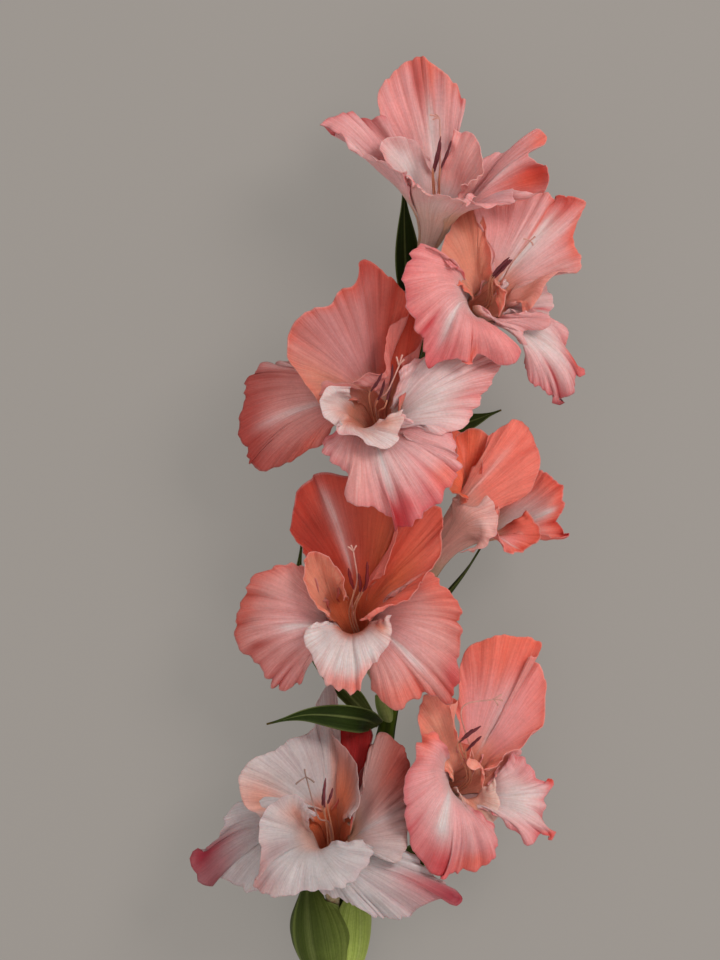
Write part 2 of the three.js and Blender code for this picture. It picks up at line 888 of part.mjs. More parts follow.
    tepals: [
      tepal("dorsal", 0, -0.05, 1.5, 2, 0, [
        [9, 8, 16],
        [13, 22, 12],
        [11, 41, -1],
        [0, 62, -12],
        [-17, 41, -1],
        [-38, 23, 10],
        [-26, 11, 17],
      ]),
      tepal("left", 65, 0.25, 2, 2.5, 0, [
        [-25, 8, 8],
        [-38, 15, 5],
        [-46, 7, 3],
        [-54, -11, -2],
        [-51, -22, -6],
        [-37, -25, -4],
        [-23, -19, 6],
      ]),
      tepal("lip", 130, 0.25, 1.8, 2.5, 0.5, [
        [-8, 11, 18],
        [-19, 19, 24],
        [-29, 2, 26],
        [-32, -21, 20],
        [-9, -23, 24],
        [9, -19, 24],
        [16, -4, 18],
      ]),
      tepal("lower_right", -170, 0.2, 2, 3, 0.5, [
        [-9, -19, 14],
        [6, -31, 14],
        [32, -37, 12],
        [52, -25, 8],
        [47, -15, 8],
        [36, -11, 10],
        [20, -6, 12],
      ]),
      tepal("right", -110, 0.15, 1.5, 2.5, 0, [
        [13, -4, 19],
        [30, -9, 16],
        [35, 6, 10],
        [34, 32, 3],
        [29, 40, -1],
        [21, 42, -1],
        [13, 22, 9],
      ]),
      tepal("upper_right", -55, 0, 1, 1.5, 0, [
        [13, 26, 0],
        [18, 36, -12],
        [15, 43, -18],
        [12, 49, -20],
        [6, 48, -20],
        [4, 42, -16],
        [5, 28, -6],
      ]),
    ],
    bracts: [
      bractOf("outer", [
        [-17, -224, 12],
        [-23, -206, 25],
        [-27, -187, 25],
        [-25, -167, 14],
      ], [0.5, 0, -0.8], 34, 0.35),
      bractOf("inner", [
        [-4.5, -222, 11],
        [1, -206, 18],
        [2, -185, 24],
        [-2, -166, 24],
      ], [-0.7, 0, -0.6], 22, 0.4),
    ],
  },
].map((floret) => {
  const axis = point(...floret.axis).normalize();
  const up = point(...floret.up);
  up.addScaledVector(axis, -up.dot(axis)).normalize();
  const [node, foot, throat] = [floret.node, floret.foot, floret.throat].map((p) => point(...p));
  const footAxis = throat.clone().sub(foot).normalize().add(point(0, 1, 0)).normalize();
  const grown = { ...floret, axis, up, footAxis, node, foot, throat };
  grown.curve = tubeCurve(grown);
  return grown;
});

// The spike

const spike = new THREE.Group();
const underside = new THREE.BoxGeometry(RESTING_SIDE, RESTING_SIDE, RESTING_DEPTH);
const belowRest = solidOf(underside.translate(0, 0, -RESTING_DEPTH / 2));

function place(name, solid, material) {
  const mesh = new THREE.Mesh(geometryOf(largestBody(solid.subtract(belowRest))), material);
  mesh.name = name;
  spike.add(mesh);
}

place("stem", stem(0), stemGreen);
const roundStem = stem(CLEARANCE);

for (const floret of florets) {
  const pale = floret.name === "floret_7";
  const roundTube = tube(floret, CLEARANCE);
  const roundOvary = ovary(floret, CLEARANCE);
  place(floret.name + "_perianth", perianth(floret), pale ? blush : coral);
  place(floret.name + "_stamens", stamens(floret), anther);
  place(floret.name + "_ovary", ovary(floret, 0).subtract(roundStem), stemGreen);
  for (const leaf of floret.bracts) {
    const clear = bract(leaf).subtract(roundStem).subtract(roundTube).subtract(roundOvary);
    place(floret.name + "_" + leaf.name + "_bract", clear, leafGreen);
  }
}

const box = new THREE.Box3().setFromObject(spike);
const middle = box.getCenter(new THREE.Vector3());
spike.position.set(-middle.x, -middle.y, -box.min.z);

const gladiolus = new THREE.Group();
gladiolus.add(spike);

export default gladiolus;
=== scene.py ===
import math

import bpy
import numpy as np
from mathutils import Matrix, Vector


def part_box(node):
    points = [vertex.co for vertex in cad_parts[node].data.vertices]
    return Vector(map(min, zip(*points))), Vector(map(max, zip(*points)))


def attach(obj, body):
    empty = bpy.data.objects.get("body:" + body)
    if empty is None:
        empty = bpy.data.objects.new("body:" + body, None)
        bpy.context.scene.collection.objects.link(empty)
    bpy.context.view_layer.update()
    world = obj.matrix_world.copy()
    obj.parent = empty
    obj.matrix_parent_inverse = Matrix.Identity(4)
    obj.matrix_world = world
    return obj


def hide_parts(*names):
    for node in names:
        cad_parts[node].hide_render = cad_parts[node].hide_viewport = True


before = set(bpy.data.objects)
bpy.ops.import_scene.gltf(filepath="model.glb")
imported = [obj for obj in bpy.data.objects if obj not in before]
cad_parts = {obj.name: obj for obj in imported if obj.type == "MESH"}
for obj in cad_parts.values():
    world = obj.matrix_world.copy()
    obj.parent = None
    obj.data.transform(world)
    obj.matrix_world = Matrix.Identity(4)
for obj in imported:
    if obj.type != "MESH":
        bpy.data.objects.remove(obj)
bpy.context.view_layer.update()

# Flower stem
# The round green stem that carries all seven florets, thickest at its cut end. It is one fleshy rod,
# faintly ribbed along its run and a little swollen under the florets, with a pale pithy cut face.

# Places and lengths are drawn in millimetres: x to the right, y up the spike and z up from the table.
MM = 0.001
STEM_LINE = [
    (-12, -327, 4.8), (-11.6, -224, 9), (-4.3, -172, 12), (10.8, -114, 14), (18.1, -60, 15), (22.4, -9, 15),
    (24.9, 34, 15), (25.8, 73, 16),
]
STEM_CUT_RADIUS = 5
STEM_TOP_RADIUS = 2.8
STEM_RINGS = 300
STEM_SIDES = 40
STEM_RIBS = ((0.07, 9, 0), (0.05, 14, 1.3))
STEM_STRIPES = 5
KNOT_RUNS = (0.29, 0.385, 0.535, 0.635, 0.745, 0.885)
KNOT_SWELL = 0.35
KNOT_REACH = 0.008
CUT_BULGE = 0.01
CURVE_STEPS = 401
RELIEF_DEPTH = 0.0002
chance = np.random.default_rng(41)


def mix(a, b, share):
    return a + (b - a) * share


def smooth(low, high, x):
    """0 below low, 1 above high, and an even rise between; with low above high it falls."""
    share = np.clip((x - low) / (high - low), 0, 1)
    return share * share * (3 - 2 * share)


def pigment(red, green, blue):
    """A colour as seen, 0 to 255 each, as the plain amounts of light that shaders use."""
    return ((np.array([red, green, blue]) / 255 + 0.055) / 1.055) ** 2.4


def evens(count):
    """Even steps from 0 to 1."""
    return np.linspace(0, 1, count)


def turns(sides):
    """The angles of a round part's sides."""
    return np.arange(sides) * 2 * math.pi / sides


def run_of(line):
    """The length of a line up to each of its places."""
    return np.concatenate([[0], np.cumsum(np.linalg.norm(np.diff(line, axis=0), axis=1))])


def through(points, pace=0.5):
    """A smooth curve through some points, as a function of its run from 0 to 1."""
    marks = np.asarray(points, float)
    marks = np.vstack([2 * marks[0] - marks[1], marks, 2 * marks[-1] - marks[-2]])

    def at(run):
        run = np.asarray(run, float) * (len(marks) - 3)
        first = np.clip(np.floor(run).astype(int), 0, len(marks) - 4)
        part = (run - first)[..., None]
        a, b, c, d = (marks[first + k] for k in range(4))
        e, f, g = (np.linalg.norm(q - p, axis=-1, keepdims=True) ** pace for p, q in ((a, b), (b, c), (c, d)))
        leave = f * ((b - a) / e - (c - a) / (e + f)) + c - b
        arrive = f * ((d - c) / g - (d - b) / (f + g)) + c - b
        turn = part**3 * (2 * (b - c) + leave + arrive)
        return b + part * leave + part**2 * (3 * (c - b) - 2 * leave - arrive) + turn

    return at


def evenly(curve, shares):
    """Places on a curve at shares of its length."""
    runs = evens(CURVE_STEPS)
    length = run_of(curve(runs))
    return curve(np.interp(np.asarray(shares) * length[-1], length, runs))


def square_to(line, up):
    """The way a line runs at each place, and two ways square to it, carried along without twist."""
    ahead = np.gradient(line, axis=0)
    ahead /= np.linalg.norm(ahead, axis=1, keepdims=True)
    ups = np.empty_like(ahead)
    for i, way in enumerate(ahead):
        up = up - way * (up @ way)
        up = up / np.linalg.norm(up)
        ups[i] = up
    return ahead, ups, np.cross(ahead, ups)


def rod(line, radius, sides, tone, up=(0.0, 0.0, 1.0), seed=0.0):
    """A round part along a line, closed at both ends. The radius may differ by ring and by side."""
    line = np.asarray(line, float)
    rings = len(line)
    radius = np.broadcast_to(radius, (rings, sides))
    ahead, ups, across = square_to(line, np.asarray(up, float))
    turn = turns(sides)
    ring = np.cos(turn)[:, None] * ups[:, None] + np.sin(turn)[:, None] * across[:, None]
    grid = line[:, None] + ring * radius[..., None]
    places = np.vstack([grid.reshape(-1, 3), line[:1], line[-1:]])
    k = np.arange(sides)
    beside = (k + 1) % sides
    low = np.arange(rings - 1)[:, None] * sides
    quads = np.stack([low + k, low + beside, low + sides + beside, low + sides + k], -1).reshape(-1, 4)
    last = (rings - 1) * sides
    ends = [(rings * sides, b, a) for a, b in zip(k, beside)]
    ends += [(rings * sides + 1, last + a, last + b) for a, b in zip(k, beside)]
    run = run_of(line)
    aside, aloft = np.sin(turn) * radius, np.cos(turn) * radius
    vein = np.stack(np.broadcast_arrays(aside, run[:, None], seed + aloft), -1)
    vein = np.vstack([vein.reshape(-1, 3), [[0, 0, seed]], [[0, run[-1], seed]]])
    tone = np.broadcast_to(tone, (rings, sides, 3)).reshape(-1, 3)
    tone = np.vstack([tone, tone[:1], tone[-1:]])
    return {"places": places, "faces": quads.tolist() + ends, "tone": tone, "vein": vein}


def grow(name, parts, skin):
    """One piece of some parts, moved from the drawing to where the frame has it and kept off the table."""
    mesh = bpy.data.meshes.new(name)
    faces, rounded, count = [], [], 0
    for part in parts:
        faces += [[count + corner for corner in face] for face in part["faces"]]
        rim = part.get("rim", 0)
        rounded += [True] * (len(part["faces"]) - rim) + [False] * rim
        count += len(part["places"])
    places = np.vstack([part["places"] for part in parts]) * MM + shift
    places[:, 2] = np.maximum(places[:, 2], 0)
    mesh.from_pydata(places.tolist(), [], faces)
    tone = np.vstack([part["tone"] for part in parts])
    paint = mesh.attributes.new("tone", "FLOAT_COLOR", "POINT")
    paint.data.foreach_set("color", np.hstack([tone, np.ones((count, 1))]).ravel())
    vein = mesh.attributes.new("vein", "FLOAT_VECTOR", "POINT")
    vein.data.foreach_set("vector", np.vstack([part["vein"] for part in parts]).ravel())
    mesh.polygons.foreach_set("use_smooth", rounded)
    mesh.materials.append(skin)
    piece = bpy.data.objects.new(name, mesh)
    bpy.context.collection.objects.link(piece)
    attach(piece, "root")
    return piece


def put(tree, kind, inputs=None, **settings):
    """A shader node with its inputs set or linked."""
    made = tree.nodes.new("ShaderNode" + kind)
    for key, value in settings.items():
        setattr(made, key, value)
    for socket, value in (inputs or {}).items():
        if isinstance(value, bpy.types.NodeSocket):
            tree.links.new(value, made.inputs[socket])
        else:
            made.inputs[socket].default_value = value
    return made


def vein_group():
    """Fine veins that run with the growth of a leaf, petal or stem, as colour, roughness and height.

    Vein gives millimetres across and along the growth, and a number that sets one part from the next.
    """
    tree = bpy.data.node_groups.new("fine_veins", "ShaderNodeTree")
    taken = {"Tone": "Color", "Vein": "Vector", "Spacing": "Float", "Stretch": "Float", "Vein Tint": "Color"}
    taken |= {"Vein Strength": "Float", "Mottle": "Float", "Roughness": "Float"}
    made = {"Color": "Color", "Roughness": "Float", "Height": "Float"}
    for sockets, side in ((taken, "INPUT"), (made, "OUTPUT")):
        for label, kind in sockets.items():
            tree.interface.new_socket(label, in_out=side, socket_type="NodeSocket" + kind)

    def maths(operation, *values):
        return put(tree, "Math", dict(enumerate(values)), operation=operation).outputs[0]

    def noise(place, scale, detail, rough=0.5):
        given = {"Vector": place, "Scale": scale, "Detail": detail, "Roughness": rough}
        return put(tree, "TexNoise", given).outputs[0]

    given = tree.nodes.new("NodeGroupInput").outputs
    part = put(tree, "SeparateXYZ", {0: given["Vein"]}).outputs
    across = maths("DIVIDE", part["X"], given["Spacing"])
    along = maths("DIVIDE", part["Y"], given["Stretch"])
    line = put(tree, "CombineXYZ", {"X": across, "Y": along, "Z": part["Z"]}).outputs[0]
    ground = put(tree, "NewGeometry").outputs["Position"]
    fine, broad = noise(line, 1.0, 2.5, 0.6), noise(line, 0.23, 1.0)
    speck, cloud = noise(ground, 900.0, 2.0), noise(ground, 110.0, 2.0)
    rise = {"Value": fine, "From Min": 0.42, "From Max": 0.66}
    ridge = put(tree, "MapRange", rise, interpolation_type="SMOOTHSTEP").outputs[0]
    layers = {0: maths("MULTIPLY", ridge, given["Vein Strength"]), 6: given["Tone"], 7: given["Vein Tint"]}
    veined = put(tree, "Mix", layers, data_type="RGBA", blend_type="MULTIPLY").outputs[2]
    blotch = maths("ADD", maths("ADD", maths("ADD", broad, cloud), speck), -1.5)
    shade = maths("MULTIPLY_ADD", blotch, given["Mottle"], 1.0)
    shaded = put(tree, "VectorMath", {0: veined, "Scale": shade}, operation="SCALE").outputs[0]
    rough = maths("ADD", maths("MULTIPLY_ADD", speck, 0.16, -0.08), given["Roughness"])
    height = maths("MULTIPLY_ADD", speck, 0.25, ridge)
    out = tree.nodes.new("NodeGroupOutput")
    for socket, value in (("Color", shaded), ("Roughness", rough), ("Height", height)):
        tree.links.new(value, out.inputs[socket])
    return tree


fine_veins = vein_group()


def living_skin(
    name, spacing, stretch, tint, strength, mottle, roughness, bump, subsurface, reach,
    specular=0.35, sheen=0.0,
):
    """A plant's skin: its painted tone, fine veins in colour and relief, and light that passes in."""
    skin = bpy.data.materials.new(name)
    skin.use_nodes = True
    tree = skin.node_tree
    given = {
        "Tone": put(tree, "Attribute", attribute_name="tone").outputs["Color"],
        "Vein": put(tree, "Attribute", attribute_name="vein").outputs["Vector"],
        "Spacing": spacing,
        "Stretch": stretch,
        "Vein Tint": (*tint, 1),
        "Vein Strength": strength,
        "Mottle": mottle,
        "Roughness": roughness,
    }
    veins = put(tree, "Group", given, node_tree=fine_veins).outputs
    depths = {"Height": veins["Height"], "Strength": bump, "Distance": RELIEF_DEPTH}
    relief = put(tree, "Bump", depths).outputs[0]
    shader = tree.nodes["Principled BSDF"].inputs
    linked = {"Base Color": veins["Color"], "Roughness": veins["Roughness"], "Normal": relief}
    for label, socket in linked.items():
        tree.links.new(socket, shader[label])
    shader["Subsurface Weight"].default_value = subsurface
    shader["Subsurface Radius"].default_value = reach
    shader["Subsurface Scale"].default_value = MM
    shader["Sheen Weight"].default_value = sheen
    shader["Specular IOR Level"].default_value = specular
    return skin


stem_skin = living_skin(
    "fresh_stem", spacing=0.7, stretch=30.0, tint=(0.75, 0.8, 0.6), strength=0.5, mottle=0.45, roughness=0.46,
    bump=0.5, subsurface=0.15, reach=(1.0, 1.2, 0.4), specular=0.05,
)

stem_green = pigment(64, 80, 20)
stem_shade = pigment(42, 54, 10)
pith_cream = pigment(198, 205, 160)
shares = evens(STEM_RINGS)
stem_places = evenly(through(STEM_LINE), shares)
around = turns(STEM_SIDES)
thick = mix(STEM_CUT_RADIUS, STEM_TOP_RADIUS, shares)
for knot in KNOT_RUNS:
    thick = thick + KNOT_SWELL * np.exp(-(((shares - knot) / KNOT_REACH) ** 2))
ribs = sum(height * np.cos(count * around + start) for height, count, start in STEM_RIBS)
stem_radius = thick[:, None] + ribs
stem_tone = mix(stem_green, stem_shade, (0.5 + 0.5 * np.cos(STEM_STRIPES * around))[:, None])
stem_tone = np.broadcast_to(stem_tone, (STEM_RINGS, STEM_SIDES, 3))

cut_reach = np.array([0.3, 0.6, 0.82, 0.93])
cut_lean = CUT_BULGE * np.array([[4], [3], [2], [1]])
cut_places = stem_places[0] - cut_lean * (stem_places[1] - stem_places[0])
cut_tone = mix(pith_cream, stem_green, np.array([0, 0.1, 0.35, 0.9])[:, None])
stem_part = rod(
    np.vstack([cut_places, stem_places]),
    np.vstack([cut_reach[:, None] * stem_radius[0], stem_radius]),
    STEM_SIDES,
    np.vstack([np.broadcast_to(cut_tone[:, None], (len(cut_reach), STEM_SIDES, 3)), stem_tone]),
)

box_low, box_high = (np.array(corner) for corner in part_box("stem"))
own_low, own_high = stem_part["places"].min(0) * MM, stem_part["places"].max(0) * MM
shift = (box_low + box_high - own_low - own_high) / 2
shift[2] = 0
stem_piece = grow("flower_stem", [stem_part], stem_skin)
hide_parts("stem")

# Seed cases
# The green seed case under each floret, which joins its tube to the stem. It is a short fleshy pod
# with three blunt ridges, grown out of the stem inside the two bracts.

POD_END_RADIUS = 2.5
POD_SWELL = 0.9
POD_RIDGE = 0.07
POD_TIP = 0.55
POD_BEND = 0.4
POD_RINGS = 28
POD_SIDES = 30
CLEARANCE = 0.35
TUBE_BEND = 0.35
MOUTH_RADIUS = 8.5


def bezier(*handles):
    """A curve led by its handles, as a function of its run from 0 to 1."""

    def at(run):
        places = [np.asarray(handle, float) for handle in handles]
        share = np.asarray(run, float)[..., None]
        while len(places) > 1:
            places = [p + (q - p) * share for p, q in zip(places, places[1:])]
        return places[0]

    return at


def unit(way):
    way = np.asarray(way, float)
    return way / np.linalg.norm(way, axis=-1, keepdims=True)


def floret(number, node, foot, throat, axis, up, mouth=MOUTH_RADIUS):
    """Where a floret leaves the stem, where its tube begins and opens, and the way it faces."""
    foot, throat, axis = np.array(foot, float), np.array(throat, float), unit(axis)
    up = np.array(up, float)
    up = unit(up - axis * (up @ axis))
    foot_axis = unit(unit(throat - foot) + (0, 1, 0))
    reach = TUBE_BEND * np.linalg.norm(throat - foot)
    tube = bezier(foot, foot + foot_axis * reach, throat - axis * reach, throat)
    side = np.cross(axis, up)
    place = {"name": f"floret_{number}", "node": np.array(node, float), "foot": foot, "foot_axis": foot_axis}
    return place | {"throat": throat, "axis": axis, "up": up, "side": side, "mouth": mouth, "tube": tube}


florets = [
    floret(1, (25.6, 70, 15), (26, 90, 23), (32.7, 114, 44), (0.08, 0.84, 0.54), (0, 0.54, -0.84)),
    floret(2, (25, 36, 15), (31, 50, 23), (54.6, 75.3, 46), (0.5, 0.35, 0.79), (0.6, 1, 0)),
    floret(3, (21.6, -22, 15), (18, -8, 24), (6.5, 28, 48), (-0.05, 0.45, 0.89), (0, 1, 0)),
    floret(4, (19, -66, 15), (27, -52, 21), (47.3, -17.2, 34), (0.75, 0.55, 0.35), (-0.4, 0.8, 0), mouth=11),
    floret(5, (13, -106, 14), (9, -93, 22), (-3.4, -59.3, 40), (0, 0.48, 0.88), (0, 1, 0)),
    floret(6, (-2.6, -168, 12), (6, -156, 19), (46.4, -131.2, 34), (0.55, 0.35, 0.76), (0.5, 1, 0)),
    floret(7, (-9.6, -208, 10), (-12, -195, 19), (-12.9, -152.7, 40), (-0.12, 0.48, 0.87), (0, 1, 0)),
]

pod_green = pigment(112, 128, 66)
pod_pale = pigment(150, 160, 98)
shares = evens(POD_RINGS)
ridges = np.cos(3 * turns(POD_SIDES))
swell = POD_END_RADIUS + POD_SWELL * np.sin(math.pi * shares)
pod_radius = swell[:, None] * (1 + POD_RIDGE * ridges)
pod_radius[[0, -1]] *= POD_TIP
pod_tone = mix(pod_green, pod_pale, (0.5 + 0.5 * ridges)[:, None])
for place in florets:
    top = place["foot"] - place["foot_axis"] * CLEARANCE
    middle = top - POD_BEND * np.linalg.norm(place["node"] - top) * place["foot_axis"]
    place["pod"] = evenly(bezier(place["node"], middle, top), shares)
    pod = rod(place["pod"], pod_radius, POD_SIDES, pod_tone, seed=5.0)
    piece = grow(place["name"] + "_seed_case", [pod], stem_skin)
    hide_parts(place["name"] + "_ovary")

# Bracts
# The two green leaves that clasp each seed case and tube, an outer and an inner one. Each is a
# channelled waxy blade with fine lengthwise ribs, a thin pale margin and a point that dries first.

BRACT_ROWS = 64
BRACT_COLUMNS = 19
BRACT_MIDDLE_THICKNESS = 0.9
BRACT_EDGE_THICKNESS = 0.45
BRACT_POINT = 0.03
BRACT_FOOT = 0.35
KEEL_DEPTH = 0.35
MARGIN_WAVE = 0.25
TUBE_FOOT_RADIUS = 2.7
TUBE_FLARE = 1.5
TUBE_RINGS = 60
FURTHEST_PUSH = 4
BACK_VEINS_APART = 7.5
# Each leaf's middle line from foot to point, the way its hollow faces, and its width.
BRACTS = {
    "floret_1_outer": ([(23, 66, 11), (20, 88, 17), (19, 110, 27), (18.9, 130, 34)], (0.6, -0.3, 0.8), 15),
    "floret_1_inner": ([(29, 70, 17), (33, 84, 21), (37, 103, 29)], (-0.6, -0.3, 0.6), 9),
    "floret_2_outer": ([(24, 27, 9), (36, 22, 7.5), (50, 26, 3.5), (62.5, 31, 0)], (-0.2, 0.6, 1), 12),
    "floret_2_inner": ([(26, 38, 18), (27, 54, 27), (33, 69, 35)], (0.8, -0.6, 0.2), 9),
    "floret_3_outer": ([(19, -28, 12), (11, -12, 12), (2, 6, 16), (-6, 26, 22)], (0.6, -0.2, 0.8), 15),
    "floret_3_inner": ([(25, -20, 17), (27, -2, 24), (26, 15, 32)], (-0.8, -0.3, 0.4), 10),
    "floret_4_outer": ([(20, -72, 12), (33, -58, 14), (45, -42, 20), (54, -27, 27)], (-0.8, 0.6, 0.1), 8),
    "floret_4_inner": ([(17, -58, 19), (22, -42, 27), (31, -27, 34)], (0.8, -0.4, -0.2), 9),
    "floret_5_outer": (
        [(8, -107, 16), (0, -103, 38), (-23, -100.5, 51), (-40, -104.5, 52)], (0, -0.2, 1), 13,
    ),
    "floret_5_inner": ([(8, -108, 10), (-12, -86, 8), (-27, -52, 3), (-25.5, -24.5, 0)], (0.3, 0.2, 1), 13),
    "floret_6_outer": ([(-2, -177, 8.5), (17, -170, 7), (40, -159, 3), (58, -147.5, 0)], (-0.2, 0.3, 1), 13),
    "floret_6_inner": ([(-1, -160, 16), (12, -142, 22), (25, -128, 28)], (0.4, -0.7, 0.5), 9),
    "floret_7_outer": (
        [(-15, -224, 16), (-21, -206, 25), (-23, -187, 25), (-22, -167, 14)], (0.4, 0, -0.8), 42,
    ),
    "floret_7_inner": (
        [(-5, -222, 13), (-0.5, -206, 18), (0, -185, 23), (-3, -166, 22)], (-0.5, 0, -0.7), 27,
    ),
}
# The share of its width that a leaf has low down, and half the angle in degrees that it wraps there.
FOOT_AND_WRAP = {"floret_7_outer": (0.75, 105), "floret_7_inner": (0.7, 90)}
PLAIN_FOOT_AND_WRAP = (0.7, 60)


def facing(grid):
    """The way a sheet faces at each place of its grid of rows and columns."""
    return unit(np.cross(np.gradient(grid, axis=0), np.gradient(grid, axis=1)))


def sheet(grid, thickness, front, back, vein):
    """A thin part with two faces and a rim, round the middle surface given by a grid of places."""
    rows, columns = grid.shape[:2]
    half = facing(grid) * np.broadcast_to(thickness, (rows, columns))[..., None] / 2
    count = rows * columns
    low = np.arange(rows - 1)[:, None] * columns + np.arange(columns - 1)
    face = np.stack([low, low + columns, low + columns + 1, low + 1], -1).reshape(-1, 4)
    border = [i * columns for i in range(rows)]
    border += [(rows - 1) * columns + j for j in range(1, columns)]
    border += [i * columns + columns - 1 for i in range(rows - 2, -1, -1)]
    border += [j for j in range(columns - 2, 0, -1)]
    rim = [(a, a + count, b + count, b) for a, b in zip(border, border[1:] + border[:1])]
    return {
        "places": np.vstack([(grid + half).reshape(-1, 3), (grid - half).reshape(-1, 3)]),
        "faces": face.tolist() + (face[:, ::-1] + count).tolist() + rim,
        "rim": len(rim),
        "tone": np.vstack([front.reshape(-1, 3), back.reshape(-1, 3)]),
        "vein": np.vstack([vein.reshape(-1, 3), vein.reshape(-1, 3) + (0, 0, BACK_VEINS_APART)]),
    }


def clear_of(grid, line, radius):
    """Bends the places of a sheet that lie inside a round line out to its radius."""
    way = grid[..., None, :] - line
    near = np.argmin((way**2).sum(-1), axis=-1)
    out = np.take_along_axis(way, near[..., None, None], -2)[..., 0, :]
    far = np.linalg.norm(out, axis=-1)
    push = np.clip(radius[near] - far, 0, FURTHEST_PUSH)
    return grid + out / np.maximum(far, 0.01)[..., None] * push[..., None]


bract_skin = living_skin(
    "waxy_bract", spacing=0.42, stretch=60.0, tint=(0.66, 0.72, 0.5), strength=0.75, mottle=0.4,
    roughness=0.4, bump=0.6, subsurface=0.12, reach=(0.6, 1.0, 0.3), specular=0.05,
)

deep_leaf = pigment(22, 38, 2)
fresh_and_lit_leaf = pigment(166, 180, 92)
pale_leaf = pigment(168, 176, 110)
dry_tip = pigment(120, 92, 50)
BRACT_FRESHNESS = {"floret_1_outer": 0, "floret_5_outer": 0, "floret_7_outer": 0.13, "floret_7_inner": 0.8}
PLAIN_FRESHNESS = 0.08
LIT_SIDE = 0.3
CREASE_AT = 0.42
CREASE_PALENESS = 0.4
MARGIN_PALENESS = 0.25
KEEL_PALENESS = 0.26
FOOT_PALENESS = 0.25
POINT_DRYNESS = 0.7
share = evens(BRACT_ROWS)
span = np.linspace(-1, 1, BRACT_COLUMNS)


def bract_tone(label):
    """A bract's green, lighter at its foot, with a pale keel and margin and a dry point.

    The lowest floret's two leaves also get painted light on one side and a lighter line along a crease.
    """
    fresh = np.clip(BRACT_FRESHNESS.get(label, PLAIN_FRESHNESS) * mix(1.5, 0.5, share), 0, 1)
    tone = mix(deep_leaf, fresh_and_lit_leaf, fresh[:, None, None])
    if "floret_7" in label:
        crease = np.exp(-(((span - CREASE_AT) / 0.04) ** 2))
        # Painted light on one side of these two leaves, and a lighter line along a crease.
        lit = LIT_SIDE * smooth(0.1, -0.9, span) + CREASE_PALENESS * crease
        tone = mix(tone, fresh_and_lit_leaf, (lit * smooth(1, 0.6, share)[:, None])[..., None])
    edge = smooth(0.86, 1, np.abs(span)) * smooth(1, 0.8, share)[:, None]
    tone = mix(tone, pale_leaf, MARGIN_PALENESS * edge[..., None])
    tone = mix(tone, pale_leaf, (KEEL_PALENESS * np.exp(-((span / 0.06) ** 2)))[:, None])
    tone = mix(tone, dry_tip, smooth(0.95, 1, share)[:, None, None] * POINT_DRYNESS)
    return mix(tone, pale_leaf, smooth(0.25, 0, share)[:, None, None] * FOOT_PALENESS)


for place in florets:
    tube_line = evenly(place["tube"], evens(TUBE_RINGS))
    tube_radius = mix(TUBE_FOOT_RADIUS, place["mouth"], evens(TUBE_RINGS) ** TUBE_FLARE)
    for kind in ("outer", "inner"):
        label = place["name"] + "_" + kind
        spine, faces, wide = BRACTS[label]
        clasp, wrap = FOOT_AND_WRAP.get(label, PLAIN_FOOT_AND_WRAP)
        centre = evenly(through(spine), share)
        ahead = unit(np.gradient(centre, axis=0))
        across = unit(np.cross(ahead, unit(faces)))
        inward = np.cross(across, ahead)
        taper = mix(1, BRACT_POINT, smooth(0.35, 1, share) ** 1.4)
        half = wide / 2 * mix(clasp, 1, smooth(0, 0.4, share)) * taper
        half = half * mix(BRACT_FOOT, 1, smooth(0, 0.16, share))
        opened = math.radians(wrap) * mix(1, 0.5, share)
        turn = opened[:, None] * span
        radius = (half / opened)[:, None]
        grid = centre[:, None] + across[:, None] * (radius * np.sin(turn))[..., None]
        grid = grid + inward[:, None] * (radius * (1 - np.cos(turn)))[..., None]
        keel = KEEL_DEPTH * np.exp(-((span / 0.1) ** 2)) * half[:, None] / half.max()
        wave = MARGIN_WAVE * np.sin(9 * share + 3 * chance.random())[:, None] * smooth(0.5, 1, np.abs(span))
        grid = grid + facing(grid) * (wave - keel)[..., None]
        gap = BRACT_MIDDLE_THICKNESS / 2 + CLEARANCE
        for solid, round_radius in ((stem_places, thick), (tube_line, tube_radius), (place["pod"], swell)):
            grid = clear_of(grid, solid, round_radius + gap)
        tone = bract_tone(label)
        thin = mix(BRACT_MIDDLE_THICKNESS, BRACT_EDGE_THICKNESS, smooth(0.3, 1, np.abs(span)))
        run = run_of(centre)[:, None]
        vein = np.stack(np.broadcast_arrays(span * wide / 2, run, 11.0 + chance.random()), -1)
        leaf = sheet(grid, thin, tone, mix(tone, pale_leaf, 0.03), vein)
        piece = grow(label + "_leaf", [leaf], bract_skin)
        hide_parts(label + "_bract")

# Tepals
# The six tepals of each floret, grown together below into one curved tube. They are thin satin flesh,
# thicker at the claw, ruffled at the margin and folded here and there. Most are coral pink with pale
# midribs and redder edges; the lowest floret's are white, greyed to ash partly as painted shade, and
# the one of them that lies deep in shade is painted deep red as painted shade.

TUBE_ROWS = 9
BLADE_ROWS = 42
COLUMN_STEP = 1.15
FEWEST_COLUMNS = 41
MOST_COLUMNS = 115
CLAW_THICKNESS = 0.8
MARGIN_THICKNESS = 0.3
LAYER_GAP = 0.5
TUBE_WALL = 1.6
TEPAL_SUNK = 2
WALL_LEAN = 0.19
TUBE_VEINS = 30
SEAM_DEPTH = 0.35
SEAM_RIDGE = 0.3
CLAW_SHARE = 0.6
SHOULDER = 0.55
LAYERS_SPREAD = 3
ROW_CROWDING = 0.35
